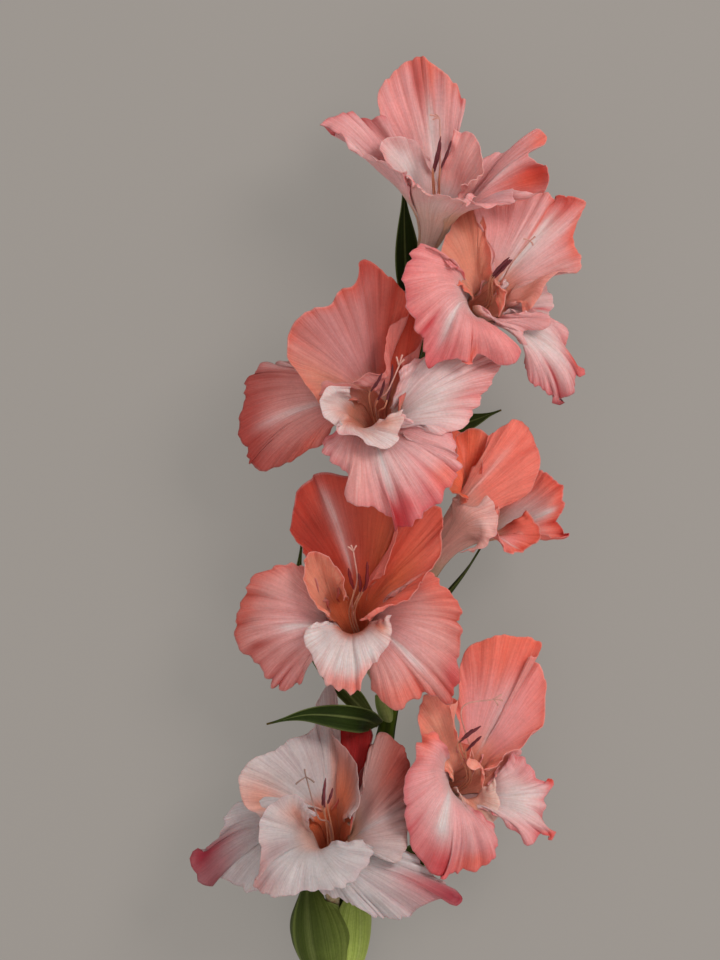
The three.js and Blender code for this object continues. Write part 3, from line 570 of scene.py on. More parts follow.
# How many millimetres apart each kind of uneven swing along a margin turns.
SWINGS = {"sway": 16, "ruffle": 6.5, "crimps": 2.7, "folding": 6, "lobes": 8, "flush": 17}
STRAY = 2.2
FOLD_DEPTH = 2
FOLD_NICK = 1.5
EVEN_WAVE = 0.6
SWAY_WAVE = 0.9
RUFFLE_WAVE = 0.85
CRIMP_WAVE = 0.8
CRIMP_NICK = 0.75
LOBE_NICK = 0.55
SIDE_WAVE = 0.7
BUCKLE = 0.55
RIB_DEPTH = 0.45
SMOOTHINGS = 8
HEART_WASH = 0.9
EDGE_WASH = 0.55
EDGE_LINE = 0.8
RIM_LIGHT = 0.6
FOLD_SHADE = 0.7
RIDGE_LIGHT = 0.3
PLEAT_SHADE = 0.35
BACK_WASH = 0.45
SIDES_OUT_OF_REACH = 60

white = pigment(217, 201, 200)
blush = pigment(214, 180, 179)
pale_blush = pigment(226, 194, 194)
rose = pigment(222, 160, 160)
pink = pigment(226, 138, 136)
coral = pigment(228, 108, 90)
scarlet = pigment(206, 56, 38)
bright_coral = pigment(234, 106, 84)
flame = pigment(234, 88, 62)
# A coral lightened as painted light, for the fourth floret's upper lobes that face away from the lamps.
glow = pigment(250, 116, 84)
red_pink = pigment(214, 84, 92)
orange = pigment(208, 104, 66)
peach = pigment(216, 138, 114)
ember = pigment(204, 76, 54)
brick = pigment(160, 46, 34)
cinnabar = pigment(188, 66, 50)
dusky = pigment(180, 112, 110)
crimson = pigment(190, 46, 54)
wine = pigment(112, 18, 24)
deep_wine = pigment(136, 16, 40)
pearl = pigment(192, 166, 168)
tan = pigment(196, 150, 126)
mauve = pigment(150, 108, 108)
shell = pigment(212, 172, 160)
faded_rose = pigment(212, 146, 140)
bright_rose = pigment(240, 172, 168)
pearl_mauve = pigment(192, 142, 144)
veiled_mauve = pigment(178, 142, 138)
rust = pigment(156, 84, 70)
dull_rose = pigment(204, 126, 120)
# A white greyed to ash, partly the tepals' own tone and partly painted shade.
ash = pigment(190, 181, 181)
warm_shell = pigment(230, 166, 154)
# A peach lightened as painted light, for walls deep in a throat that lie in shade.
bright_peach = pigment(238, 158, 134)
# A deep red used as painted shade.
painted_shadow_red = pigment(168, 18, 18)

INNER, OUTER = -1, 1
PLAIN_LOOK = dict(
    reach=3, rise=12, lean=28, claw_span=38, broad=3, fringe=1, rib=white, rib_run=(0.25, 0.8), rib_at=0,
    rib_amount=0.5, outside=None, tube=tan, nicks=(), pleats=(), curls=(), marks=(),
)
TEPALS = {place["name"]: [] for place in florets}


def tepal(name, layer, seat, arch, frill, waves, phase, claw, heart, body, edge, margin, **look):
    """Adds a tepal to a floret. s runs from 0 at its claw to 1 at its margin, and t from -1 to 1 across.

    layer is its side of the tube's wall, seat its turn round the throat in degrees, and arch how far
    it bulges to the front. frill, waves and phase are the height, number and start of its waves.
    claw, heart, body and edge are pigments. margin gives its outline from the middle of the throat,
    counter-clockwise as seen from the front, in millimetres to the right, up and to the front.
    look may change PLAIN_LOOK: reach is how far the edge's tone comes in, in millimetres; rise and
    lean how far and at what angle it leaves the throat; claw_span the half angle of its claw; broad
    how much wider it is below; fringe the size of its crimps. rib is a pigment with a start and end
    in s, a place in t and an amount. outside and tube are pigments of the back. nicks are (t,
    millimetres, width), pleats (t, millimetres, width, first s), curls (t, width, degrees, reach in
    millimetres) and marks (s, t, reach in s, reach in t, pigment, amount).
    """
    grown = dict(layer=layer, seat=seat, arch=arch, frill=frill, waves=waves, phase=phase, margin=margin)
    TEPALS[name].append(PLAIN_LOOK | grown | dict(claw=claw, heart=heart, body=body, edge=edge) | look)


tepal("floret_1", OUTER, 0, -0.08, 1.6, 2, 0.4, blush, blush, rose, coral,
    [(7, 32, -8), (10, 45, -4), (11.5, 51, -2), (8, 58, 0), (1, 64, 0), (-8, 67.5, 0), (-16, 62.5, 0),
    (-23.5, 54, 1), (-23.5, 41, 1), (-16, 28, -6)],
    reach=3.5, rib_run=(0.2, 0.75), rib_at=0.02, rib_amount=0.8, nicks=[(-0.5, -1.5, 0.04),
    (0.05, 1.5, 0.05)], pleats=[(0.07, -2.6, 0.06, 0.6), (0.2, -1.4, 0.05, 0.7)],
    marks=[(0.88, 0.14, 0.2, 0.07, brick, 0.85), (0.94, -0.02, 0.16, 0.06, coral, 0.9),
    (1, -0.52, 0.04, 0.05, crimson, 0.8), (0.75, 0.5, 0.3, 0.3, pink, 0.6)])
tepal("floret_1", INNER, 45, 0, 1, 1.5, 0, blush, white, blush, rose,
    [(-4, 24, 2), (-8, 31, 5), (-14, 33, 9), (-20, 32, 13), (-23, 28, 15), (-20, 22, 17), (-13, 17, 17)],
    reach=4, marks=[(1, 0.6, 0.1, 0.3, pink, 0.6)])
# The dusky patch along this tepal's upper edge is painted shade.
tepal("floret_1", OUTER, 75, 0.12, 2, 2.5, 1, white, rose, rose, crimson,
    [(-16, 27, -2), (-23, 40, 2), (-30, 43, 4), (-40, 44, 8), (-49, 35, 10), (-43, 32, 13), (-37, 29, 15),
    (-27, 23, 18), (-13, 14, 18)],
    reach=1.8, broad=0, fringe=2, pleats=[(-0.42, -2.5, 0.06, 0.5)],
    marks=[(0.8, -0.55, 0.35, 0.1, dusky, 0.9), (0.9, 0.05, 0.06, 0.1, crimson, 0.9),
    (0.97, -0.02, 0.03, 0.05, wine, 0.8), (0.9, 0.6, 0.15, 0.3, blush, 0.7)])
tepal("floret_1", INNER, 165, 0.3, 1.8, 2.5, 0.5, blush, blush, rose, pink,
    [(-14, 16, 16), (-10, 12, 21), (-5, 9.5, 24), (3, 6, 26), (9, 4, 26), (14, 4, 22), (18, 8, 17)],
    reach=2, claw_span=62, fringe=2, outside=shell, tube=shell)
tepal("floret_1", OUTER, -105, 0.12, 2, 2.5, 0, blush, rose, rose, pink,
    [(8, 7, 18), (22, 4, 19), (34, 3, 18), (33, 10, 17), (44, 10, 16), (46, 20, 15), (40, 24, 14),
    (47, 31, 12), (43, 37, 10), (34, 28, 5), (23, 24, 2), (16, 16, 2)],
    reach=2.5, rib_run=(0.25, 0.75), rib_at=0.16, rib_amount=1, pleats=[(-0.3, -3, 0.05, 0.5),
    (0.12, 2, 0.06, 0.3)], curls=[(-0.16, 0.14, 80, 10)], marks=[(0.8, -0.16, 0.26, 0.16, ember, 1),
    (0.9, -0.1, 0.14, 0.1, scarlet, 0.8), (0.8, -0.5, 0.4, 0.14, pearl_mauve, 0.8),
    (0.7, 0.45, 0.35, 0.2, dusky, 0.6), (0.95, 0.3, 0.14, 0.12, coral, 0.9)])
# This tepal's bright rose is lightened as painted light against the shade of its hollow.
tepal("floret_1", INNER, -55, 0, 1, 1.5, 1, white, bright_rose, bright_rose, pink,
    [(10, 12, 15), (17, 15, 15), (20, 25, 11), (15, 34, 5), (8, 37, 0)],
    reach=4, rib_amount=0.2, marks=[(0.85, -0.6, 0.3, 0.35, shell, 0.5)])

tepal("floret_2", OUTER, 0, 0, 2, 2.5, 0, peach, blush, rose, coral,
    [(15, -4, 8), (19, -3, 7), (30, 12, 4), (38, 13, 2), (41, 20, 0), (38, 27, -2), (38, 34, -3),
    (42, 44, -4), (32, 44, -4), (28, 47, -3), (22, 49, -3), (11, 45, -2), (-5, 43, 2), (-3, 32, 3),
    (2, 22, 5), (1, 12, 6)],
    reach=3.5, broad=7, rib_run=(0.15, 0.85), rib_at=0.04, rib_amount=1, pleats=[(-0.02, 2.4, 0.05, 0.55),
    (0.12, -3, 0.05, 0.5), (-0.22, -1.6, 0.05, 0.6)], curls=[(0.05, 0.08, 100, 7)],
    marks=[(0.92, 0.02, 0.2, 0.07, scarlet, 0.75), (0.72, 0.13, 0.25, 0.03, ember, 0.8),
    (0.6, -0.85, 0.45, 0.3, peach, 0.8), (0.98, -0.3, 0.08, 0.25, coral, 0.8),
    (0.8, 0.5, 0.3, 0.25, pink, 0.6)])
# This inner wall's bright peach claw is painted light against the shade in the throat.
tepal("floret_2", INNER, 60, 0, 1, 2, 1, bright_peach, peach, peach, coral,
    [(4.5, -5.5, 12), (7, -1, 14), (5.5, 5, 15), (2, 9.5, 16), (0.5, 15, 15), (2, 22, 11), (-1.5, 29, 7),
    (-5, 43, 0), (-11, 40, -2), (-18, 29, 5), (-20, 18, 11), (-14, 8, 16)],
    rib_amount=0, marks=[(0.8, 0, 0.2, 0.3, coral, 0.5)])
tepal("floret_2", OUTER, 125, 0.35, 2.5, 3.5, 0.5, blush, rose, pink, red_pink,
    [(-17, 15, 18), (-28, 26, 22), (-36, 11, 24), (-33, -6, 23), (-29, -16, 21), (-25, -26, 17),
    (-17, -24, 19), (-9, -26, 20), (-5, -23, 20), (6, -25, 18), (14, -21, 15), (8, -13, 13)],
    reach=5, rise=18, lean=50, rib_run=(0.3, 0.85), rib_at=-0.12, rib_amount=0.9,
    pleats=[(-0.3, -3, 0.04, 0.5), (0.32, -3, 0.035, 0.45), (0.1, -2, 0.04, 0.55)],
    curls=[(-0.1, 0.05, 90, 5), (0.36, 0.06, 100, 5)], marks=[(0.88, -0.3, 0.15, 0.03, crimson, 0.9),
    (0.85, 0.33, 0.18, 0.03, ember, 0.9), (0.99, -0.09, 0.04, 0.05, wine, 0.9),
    (0.96, 0.38, 0.1, 0.08, coral, 0.9), (0.9, -0.12, 0.2, 0.2, red_pink, 0.6)])
tepal("floret_2", INNER, 180, 0.2, 1.2, 1.5, 0, bright_peach, rose, rose, pink,
    [(4, -7, 9), (7, -12, 9), (13, -13, 8.5), (20, -10, 8), (26, -7, 8), (16, -3, 9)],
    reach=1.5, rise=8, rib_amount=0, marks=[(0.85, 0.55, 0.25, 0.25, dusky, 0.6)])
tepal("floret_2", OUTER, -120, 0.25, 2, 2.5, 0, blush, white, rose, red_pink,
    [(13, -14, 6), (18, -22, 4), (20, -30, 1), (25, -37, -1), (31, -41, -4), (36, -39, -5), (37, -32, -6),
    (41, -29, -6), (39, -22, -6), (36, -14, -5), (25, -4, 0)],
    fringe=1.4, rib_run=(0.2, 0.8), rib_at=0.15, pleats=[(-0.15, -3, 0.05, 0.4), (0.3, -2.4, 0.04, 0.5)],
    curls=[(-0.2, 0.08, 100, 6), (0.4, 0.07, 90, 5)], marks=[(0.3, 0, 0.25, 0.8, white, 0.8),
    (0.98, -0.2, 0.06, 0.12, wine, 0.9), (0.8, -0.15, 0.18, 0.03, crimson, 0.9),
    (0.85, 0.4, 0.15, 0.08, scarlet, 0.9)])
tepal("floret_2", INNER, -60, 0.1, 1.2, 2, 0, peach, blush, blush, rose,
    [(14, -3, 3), (24, -5, -2), (28, -1, -6), (27, 6, -10), (21, 12, -11), (13, 16, -8), (6, 9, -1)],
    rise=5, marks=[(0.8, -0.4, 0.2, 0.05, crimson, 0.8)])

# This dorsal tepal's dusky body and the patches over it are partly its own colour and partly painted shade
# and light.
tepal("floret_3", INNER, 0, -0.08, 1.8, 2, 0.5, peach, dusky, dusky, ember,
    [(-9, 12, 16), (3, 19, 14), (6, 26, 13), (7, 35, 12), (12, 43, 12), (12, 50, 12), (6, 58, 12),
    (-2, 65, 12), (-7, 63, 13), (-10, 55, 14), (-16, 53, 15), (-20, 47, 16), (-29, 43, 18), (-35, 36, 20),
    (-37, 28, 22), (-34, 20, 21), (-26, 6, 14), (-20, 1, 12)],
    reach=2.5, rib=mauve, rib_run=(0.3, 0.95), rib_at=-0.14, rib_amount=0.6,
    pleats=[(-0.08, -1.2, 0.05, 0.5), (-0.3, -1, 0.05, 0.5), (0.14, -1.6, 0.05, 0.6)],
    marks=[(0.7, -0.5, 0.7, 0.36, ember, 1), (0.75, -0.7, 0.5, 0.2, flame, 0.7),
    (0.7, 0.85, 0.4, 0.25, peach, 0.8), (0.97, -0.1, 0.1, 0.14, brick, 0.7),
    (0.55, 0.3, 0.3, 0.3, rose, 0.4)])
tepal("floret_3", OUTER, 65, 0.25, 2.2, 3, 0, peach, faded_rose, dull_rose, brick,
    [(-24, 7, 12), (-29, 15, 10), (-35, 21, 8), (-45, 20, 5), (-54, 17, 2), (-58, 5, -3), (-60, -9, -8),
    (-54, -15, -10), (-56, -22, -12), (-45, -24, -9), (-36, -22, -6), (-29, -16, 0), (-23, -13, 6)],
    reach=5, fringe=1.5, rib=blush, rib_run=(0.25, 0.9), rib_at=0.06, rib_amount=0.9,
    pleats=[(0.3, -2.4, 0.04, 0.5), (-0.3, -2.4, 0.04, 0.5)], marks=[(0.95, 0.05, 0.18, 0.5, brick, 0.85),
    (0.85, 0.75, 0.25, 0.2, coral, 0.7), (0.93, -0.55, 0.12, 0.14, blush, 0.7)])
tepal("floret_3", OUTER, 120, 0.15, 1.8, 2.5, 0.5, peach, peach, white, blush,
    [(-10, 12, 14), (-20, 12, 21), (-24, 6, 23), (-21, 0, 25), (-13, -3, 27), (-14, -8, 28), (-8, -11, 28),
    (2, -14, 26), (8, -11, 24), (11, -5, 22), (12, 1, 18)],
    reach=2, fringe=1.6, rib_amount=0, marks=[(0.85, -0.2, 0.1, 0.04, ember, 0.6),
    (0.95, 0.05, 0.14, 0.14, rose, 0.7), (0.7, 0.85, 0.3, 0.15, peach, 0.8)])
tepal("floret_3", OUTER, 180, 0.25, 2.2, 3, 0.5, peach, blush, rose, red_pink,
    [(-22, -11, 14), (-20, -18, 18), (-12, -26, 20), (-9, -37, 21), (-2, -39, 22), (4, -45, 22),
    (8, -50, 23), (13, -49, 23), (17, -45, 23), (21, -43, 22), (28, -37, 22), (35, -28, 21), (36, -23, 20),
    (31, -18, 18), (32, -9, 15), (24, -5, 13)],
    reach=4, fringe=1.5, rib_run=(0.2, 0.85), rib_at=-0.1, rib_amount=0.9, pleats=[(-0.02, -3, 0.04, 0.5),
    (-0.3, -2.4, 0.04, 0.5), (0.3, -2, 0.05, 0.5)], marks=[(0.92, -0.12, 0.2, 0.2, crimson, 1),
    (1, -0.2, 0.05, 0.08, wine, 0.7), (0.75, -0.6, 0.4, 0.26, faded_rose, 0.7),
    (0.9, 0.45, 0.12, 0.1, coral, 0.8), (0.9, 0.05, 0.1, 0.1, crimson, 0.7)])
tepal("floret_3", INNER, -120, 0.2, 1.8, 2.5, 0, white, white, pale_blush, pink,
    [(11, 0, 17), (19, -5, 18), (28, -8, 18), (36, -6, 16), (43, 2, 14), (47, 10, 11), (53, 20, 8),
    (50, 27, 6), (44, 31, 5), (32, 34, 5), (10, 18, 10)],
    reach=6, rib_amount=0.6, marks=[(0.9, 0.2, 0.2, 0.4, pink, 0.6)])
tepal("floret_3", OUTER, -60, 0, 1, 2, 0, peach, ember, ember, brick,
    [(11, 23, 6), (19, 30, 6), (22, 41, 5), (18, 50, 5), (13, 53, 5), (7, 45, 5), (5, 30, 6)],
    rib_amount=0, marks=[(0.7, -0.7, 0.4, 0.3, pink, 0.7)])

# The glow on this tepal and the next is painted light.
tepal("floret_4", OUTER, -80, 0.1, 1.4, 2, 0, tan, glow, glow, ember,
    [(18, 10, -10), (12, 24, -13), (4, 34, -11), (-2, 37, -10), (-9, 38, -8), (-10, 28, -6), (-8, 20, -3),
    (-5, 12, -2)],
    fringe=1.4, rib_amount=0)
tepal("floret_4", INNER, 0, 0, 1.4, 2, 1, tan, glow, glow, ember,
    [(9, 14, 9), (11, 28, 10), (6, 38, 9), (-3, 38, 8), (-6, 28, 10), (-5, 15, 13), (0, 9, 15)],
    rib_amount=0.1, outside=glow, tube=warm_shell, pleats=[(0.1, -2, 0.06, 0.4)],
    marks=[(0.8, 0.7, 0.5, 0.25, orange, 0.6)])
tepal("floret_4", INNER, 55, 0, 1.8, 2, 0.5, tan, bright_coral, bright_coral, scarlet,
    [(5, 16, 11), (6, 28, 12), (9, 37, 11), (17, 42, 9), (25, 40, 8), (27, 33, 8), (30, 24, 9),
    (26, 14, 10), (19, 7, 11)],
    fringe=1.4, outside=bright_coral, tube=warm_shell, pleats=[(-0.25, -3, 0.05, 0.3),
    (0.35, -2, 0.05, 0.4)], curls=[(0.05, 0.2, 90, 7)], marks=[(0.4, -0.8, 0.3, 0.3, blush, 0.4),
    (0.9, -0.1, 0.2, 0.5, flame, 0.8)])
tepal("floret_4", OUTER, 100, -0.1, 1, 1.5, 0, warm_shell, warm_shell, warm_shell, crimson,
    [(-5, 12, 5), (4, 11, 8), (10, 6, 13), (12, -2, 16), (10, -8, 16), (3, -12, 15), (-5, -15, 12)],
    reach=1.2, claw_span=56, outside=warm_shell, tube=warm_shell,
    marks=[(0.8, -0.2, 0.3, 0.6, bright_rose, 0.7)])
tepal("floret_4", INNER, 150, 0.1, 1.4, 2, 0, tan, pink, coral, ember,
    [(12, 6, 14), (12, -4, 16), (15, -12, 15), (22, -14, 13), (29, -10, 11), (30, -2, 9), (24, 4, 7)],
    fringe=1.5, outside=coral, tube=warm_shell, pleats=[(0.1, -3, 0.06, 0.3), (0.5, -2.4, 0.06, 0.3),
    (-0.3, -2, 0.05, 0.4)], marks=[(0.85, -0.45, 0.2, 0.2, pink, 0.8)])
tepal("floret_4", OUTER, -145, 0.15, 1.8, 2, 0, tan, blush, coral, scarlet,
    [(22, -4, 7), (31, -8, 6), (40, -8, 4), (36, 0, 3), (41, 6, 1), (41, 14, -1), (35, 21, -4),
    (27, 20, -6), (19, 12, -8)],
    reach=4, fringe=1.6, rib_run=(0.2, 0.8), rib_amount=1, pleats=[(-0.28, -3, 0.05, 0.4),
    (0.3, -2, 0.05, 0.4)], curls=[(-0.5, 0.12, 100, 6)], marks=[(0.35, 0.1, 0.25, 0.5, white, 0.8),
    (0.95, -0.5, 0.1, 0.1, crimson, 0.9)])

tepal("floret_5", OUTER, 0, -0.12, 1.6, 2, 0.5, orange, ember, ember, brick,
    [(9, 14, 2), (19, 34, 8), (16, 50, 13), (2, 60, 14), (-12, 62.5, 14), (-17, 60.5, 15), (-22, 55, 15),
    (-24.5, 47, 15), (-24.5, 39, 14), (-21, 31, 13), (-16, 25, 12), (-10, 20, 9), (-6, 10, 6)],
    reach=4, rib=white, rib_run=(0.35, 0.85), rib_at=-0.27, rib_amount=0.9, pleats=[(-0.22, -2, 0.06, 0.5),
    (0.35, -1.6, 0.05, 0.6)], marks=[(0.6, -0.24, 0.26, 0.08, bright_rose, 0.9),
    (0.8, 0.25, 0.5, 0.36, brick, 0.7), (0.8, -0.5, 0.4, 0.16, brick, 0.4),
    (0.6, -0.8, 0.4, 0.25, orange, 0.8)])
tepal("floret_5", INNER, 60, 0, 1, 2, 0, orange, peach, peach, coral,
    [(-3, 8, 15), (-4.5, 17, 18), (-8.5, 23, 20), (-14, 28, 21), (-19, 27, 22), (-18, 14, 22),
    (-10, 1, 17)],
    reach=2, rib_amount=0)
tepal("floret_5", OUTER, 120, 0.3, 2.2, 3, 0, blush, rose, faded_rose, cinnabar,
    [(-11, 8, 12), (-18, 18, 13), (-29, 24, 13), (-37, 21, 12), (-47, 12, 8), (-50, 2, 5), (-53, -5, 3),
    (-49, -14, 1), (-42, -21, 0), (-38, -30, -2), (-32, -32, 0), (-22, -27, 5), (-20, -21, 8),
    (-14, -11, 12)],
    reach=6, fringe=1.4, rib_run=(0.2, 0.62), rib_at=0.05, rib_amount=0.8, pleats=[(0.15, -2.5, 0.04, 0.5),
    (-0.35, -2, 0.04, 0.5), (0.5, -2.2, 0.04, 0.5)], marks=[(0.88, 0.12, 0.1, 0.04, brick, 0.9),
    (0.9, 0.5, 0.2, 0.3, pink, 0.6), (0.95, -0.3, 0.12, 0.3, ember, 0.6)])
# The ash patch on the left of this lip is painted shade in its folds.
tepal("floret_5", INNER, 180, 0.3, 1.8, 2.5, 0.5, peach, white, white, blush,
    [(-17, -1, 16), (-21, -6, 20), (-19, -14, 21), (-14, -23, 20), (-9, -29, 20), (2, -31, 20),
    (5, -25, 22), (8, -21, 23), (14, -13, 24), (17, -6, 24), (17, 1, 17)],
    reach=2, fringe=1.5, rib_amount=0.3, pleats=[(-0.45, -2, 0.05, 0.3), (-0.25, -1.6, 0.04, 0.4),
    (0.02, -1.6, 0.04, 0.5)], marks=[(0.97, 0, 0.12, 0.36, coral, 0.85),
    (0.6, 0.85, 0.3, 0.15, peach, 0.95), (0.6, -0.6, 0.3, 0.14, ash, 0.8)])
tepal("floret_5", OUTER, -120, 0.25, 2.2, 3, 0.5, blush, rose, faded_rose, cinnabar,
    [(6, -19, 10), (11, -34, 12), (19, -37, 12), (28, -34, 12), (32, -33, 12), (38, -37, 12), (45, -34, 12),
    (46, -22, 13), (46, -10, 14), (46, 1, 15), (42, 11, 17), (31, 20, 18), (19, 10, 14)],
    reach=5, fringe=1.4, rib_run=(0.25, 0.7), rib_at=-0.12, rib_amount=0.8, pleats=[(-0.02, -2, 0.04, 0.5),
    (-0.4, -2, 0.04, 0.5)], marks=[(0.95, 0.1, 0.1, 0.12, crimson, 0.7),
    (0.95, -0.6, 0.12, 0.3, coral, 0.7), (0.9, 0.7, 0.2, 0.25, coral, 0.7)])
tepal("floret_5", INNER, -60, 0, 1.5, 2, 0, orange, orange, coral, ember,
    [(5, -1, 19), (15, 5, 21), (26, 12, 23), (33, 22, 22), (37, 33, 20), (39, 46, 18), (31, 49, 18),
    (23, 42, 18), (13, 19, 16)],
    rib_amount=0, pleats=[(0.3, -2, 0.06, 0.4)], curls=[(-0.85, 0.14, 110, 5)],
    marks=[(0.6, 0.6, 0.5, 0.4, ember, 0.8), (0.8, -0.9, 0.5, 0.22, bright_coral, 0.9)])

tepal("floret_6", OUTER, 0, 0, 2, 2.5, 0, peach, rose, pink, bright_coral,
    [(7, 6, 10), (12, 9, 8), (18, 15, 7), (27, 20, 5), (33, 27, 3), (34, 37, 2), (33, 48, 2), (26, 54, 2),
    (31, 56, 2), (31, 61, 2), (21, 64, 3), (11, 64, 4), (1, 59, 5), (-3, 50, 5), (-5, 36, 6), (-5, 26, 7),
    (-3, 14, 9)],
    reach=9, rib_run=(0.2, 0.7), rib_at=0.1, rib_amount=0.5, pleats=[(-0.1, -3, 0.04, 0.6),
    (-0.32, -1.6, 0.04, 0.6)], marks=[(0.95, 0, 0.14, 0.1, ember, 0.5), (0.5, -0.9, 0.4, 0.3, peach, 0.9),
    (0.9, 0.3, 0.2, 0.4, bright_coral, 0.7)])
# This inner wall's bright peach is painted light against the shade of the dorsal tepal above it.
tepal("floret_6", INNER, 60, 0, 1.8, 2.5, 1, bright_peach, bright_peach, bright_peach, coral,
    [(7.5, -1, 12), (6, 6, 14), (1, 10, 15), (-1, 13.5, 15), (-5, 19, 14), (-7.5, 23, 13), (-8, 30, 12),
    (-8, 38, 9), (-14, 39, 7), (-20, 37, 6), (-21, 28, 7), (-19, 18, 11), (-14, 8, 15)],
    reach=4, fringe=1.6, rib_amount=0, marks=[(0.9, 0, 0.14, 0.5, coral, 0.8)])
tepal("floret_6", OUTER, 125, 0.35, 2.5, 3.5, 0.5, blush, rose, rose, red_pink,
    [(-14, 22, 15), (-20, 22, 17), (-24, 12, 22), (-27, 1, 24), (-28, -14, 24), (-24, -28, 21),
    (-13, -40, 20), (-9, -41, 20), (1, -38, 20), (9, -35, 20), (11, -26, 19), (10, -17, 17)],
    reach=6, rise=18, lean=46, fringe=1.3, rib_run=(0.25, 0.75), rib_at=0, rib_amount=1,
    pleats=[(0.12, -3, 0.045, 0.5), (0.4, -2.5, 0.04, 0.5), (-0.2, -2, 0.05, 0.6)],
    curls=[(0.2, 0.06, 80, 4)], marks=[(0.92, 0.1, 0.14, 0.2, crimson, 0.9),
    (0.93, 0.5, 0.1, 0.2, coral, 0.8), (0.9, -0.85, 0.2, 0.2, bright_coral, 0.9)])
tepal("floret_6", INNER, 180, 0.15, 1.2, 1.5, 0, peach, peach, shell, shell,
    [(-4, -6, 9), (-1, -12, 9), (5, -16, 9), (11, -17, 8), (13, -9, 7), (11, 2, 6)],
    reach=2, rise=4, rib_amount=0)
tepal("floret_6", OUTER, -120, 0.25, 2, 2.5, 0, blush, white, rose, red_pink,
    [(12, -14, 9), (18, -18, 9), (27, -25, 7), (34, -24, 5), (39, -22, 3), (36, -14, 2), (34, -6, 0),
    (36, 0, -2), (31, 3, -3), (24, 8, -4), (18, 17, -4)],
    fringe=1.5, rib_run=(0.2, 0.9), rib_at=0.2, pleats=[(0, -3, 0.05, 0.4), (-0.4, -2, 0.04, 0.5)],
    curls=[(-0.25, 0.1, 90, 5), (0.4, 0.08, 90, 4)], marks=[(0.4, 0, 0.25, 0.9, white, 0.9),
    (0.97, -0.25, 0.08, 0.15, scarlet, 0.9), (0.98, 0.4, 0.06, 0.08, scarlet, 0.9)])
tepal("floret_6", INNER, -60, 0.1, 1.2, 2, 0, peach, peach, pink, rose,
    [(13, 6, -2), (22, 13, -9), (26, 22, -13), (25, 33, -15), (19, 38, -15), (13, 34, -13), (6, 18, -4)],
    rise=5)

# The rust patch over this tepal's right half is painted shade on its shaded side.
tepal("floret_7", INNER, 0, -0.05, 1.5, 2, 0, orange, ash, ash, pearl,
    [(9, 8, 16), (13, 20, 12), (10, 34, 4), (2, 44, -4), (3, 56, -10), (0, 64, -12), (-5, 58, -10),
    (-6, 47, -6), (-13, 43, -2), (-24, 37, 3), (-36, 31, 7), (-39, 23, 10), (-36, 14, 13), (-28, 7, 17)],
    reach=1.5, rib=ash, rib_run=(0.25, 0.95), rib_at=0.12, rib_amount=0.9, pleats=[(0.02, -2, 0.06, 0.4)],
    marks=[(0.7, -0.66, 0.6, 0.34, rust, 0.9), (0.4, -0.7, 0.32, 0.4, orange, 0.95),
    (0.8, 0.15, 0.3, 0.3, mauve, 0.3), (0.8, 0.8, 0.3, 0.2, peach, 0.8),
    (0.5, -0.25, 0.3, 0.08, peach, 0.4)])
tepal("floret_7", OUTER, 65, 0.25, 2, 2.5, 0, orange, ash, ash, pearl,
    [(-25, 8, 8), (-32, 14, 6), (-38, 15, 5), (-46, 8, 3), (-46, 4, 3), (-52, -4, 0), (-55, -11, -2),
    (-51, -23, -6), (-48, -18, -5), (-36, -25, -4), (-28, -22, 2), (-22, -14, 6)],
    reach=1.5, rib_amount=0.2, pleats=[(0, -2, 0.05, 0.4), (0.3, -2, 0.05, 0.5)],
    curls=[(0.08, 0.1, 90, 8)], marks=[(0.94, 0.06, 0.24, 0.2, deep_wine, 1),
    (1, 0.3, 0.18, 0.14, deep_wine, 0.9)])
# The mauve patches in this lip's folds are painted shade.
tepal("floret_7", INNER, 130, 0.25, 2, 2.5, 0.5, shell, ash, ash, pearl,
    [(-6, 10, 18), (-12, 18, 22), (-20, 19, 24), (-28, 11, 26), (-30, 1, 26), (-29, -14, 24),
    (-32, -22, 20), (-20, -24, 22), (-9, -23, 24), (9, -19, 24), (16, -8, 20), (14, -1, 17)],
    reach=1.5, rise=16, rib_amount=0, pleats=[(-0.1, -3, 0.06, 0.3), (0.1, -2.4, 0.05, 0.4),
    (0.4, -2, 0.05, 0.4)], marks=[(0.95, 0, 0.12, 0.2, faded_rose, 0.7), (0.7, -0.15, 0.3, 0.1, mauve, 0.5),
    (0.5, -0.75, 0.3, 0.25, peach, 0.8), (0.85, 0.1, 0.2, 0.14, mauve, 0.4)])
tepal("floret_7", OUTER, -170, 0.2, 2.2, 3, 0.5, ash, ash, ash, pearl,
    [(-9, -19, 14), (-3, -24, 14), (9, -29, 14), (19, -35, 13), (26, -36, 12), (36, -34, 11), (46, -26, 9),
    (53, -26, 7), (51, -21, 7), (43, -15, 8), (36, -10, 10), (22, -6, 12)],
    reach=2.5, rib_amount=0.3, pleats=[(-0.1, -3, 0.05, 0.3), (0.1, -2, 0.05, 0.4), (-0.4, -2, 0.05, 0.4)],
    curls=[(0.25, 0.06, 90, 5)], marks=[(0.9, 0.22, 0.24, 0.26, crimson, 0.7),
    (0.98, 0.27, 0.18, 0.14, deep_wine, 0.95)])
tepal("floret_7", OUTER, -110, 0.15, 1.5, 2.5, 0, tan, veiled_mauve, veiled_mauve, rust,
    [(13, -4, 19), (22, -9, 18), (30, -9, 16), (35, 6, 10), (36, 20, 6), (34, 32, 3), (29, 41, -1),
    (20, 42, -1), (13, 22, 9)],
    reach=1.5, rib=ash, rib_run=(0.3, 0.9), rib_at=-0.1, rib_amount=0.6,
    marks=[(0.8, -0.7, 0.4, 0.4, ash, 0.8), (0.85, 0.35, 0.4, 0.4, rust, 0.9),
    (0.95, 0.25, 0.3, 0.35, brick, 0.7)])
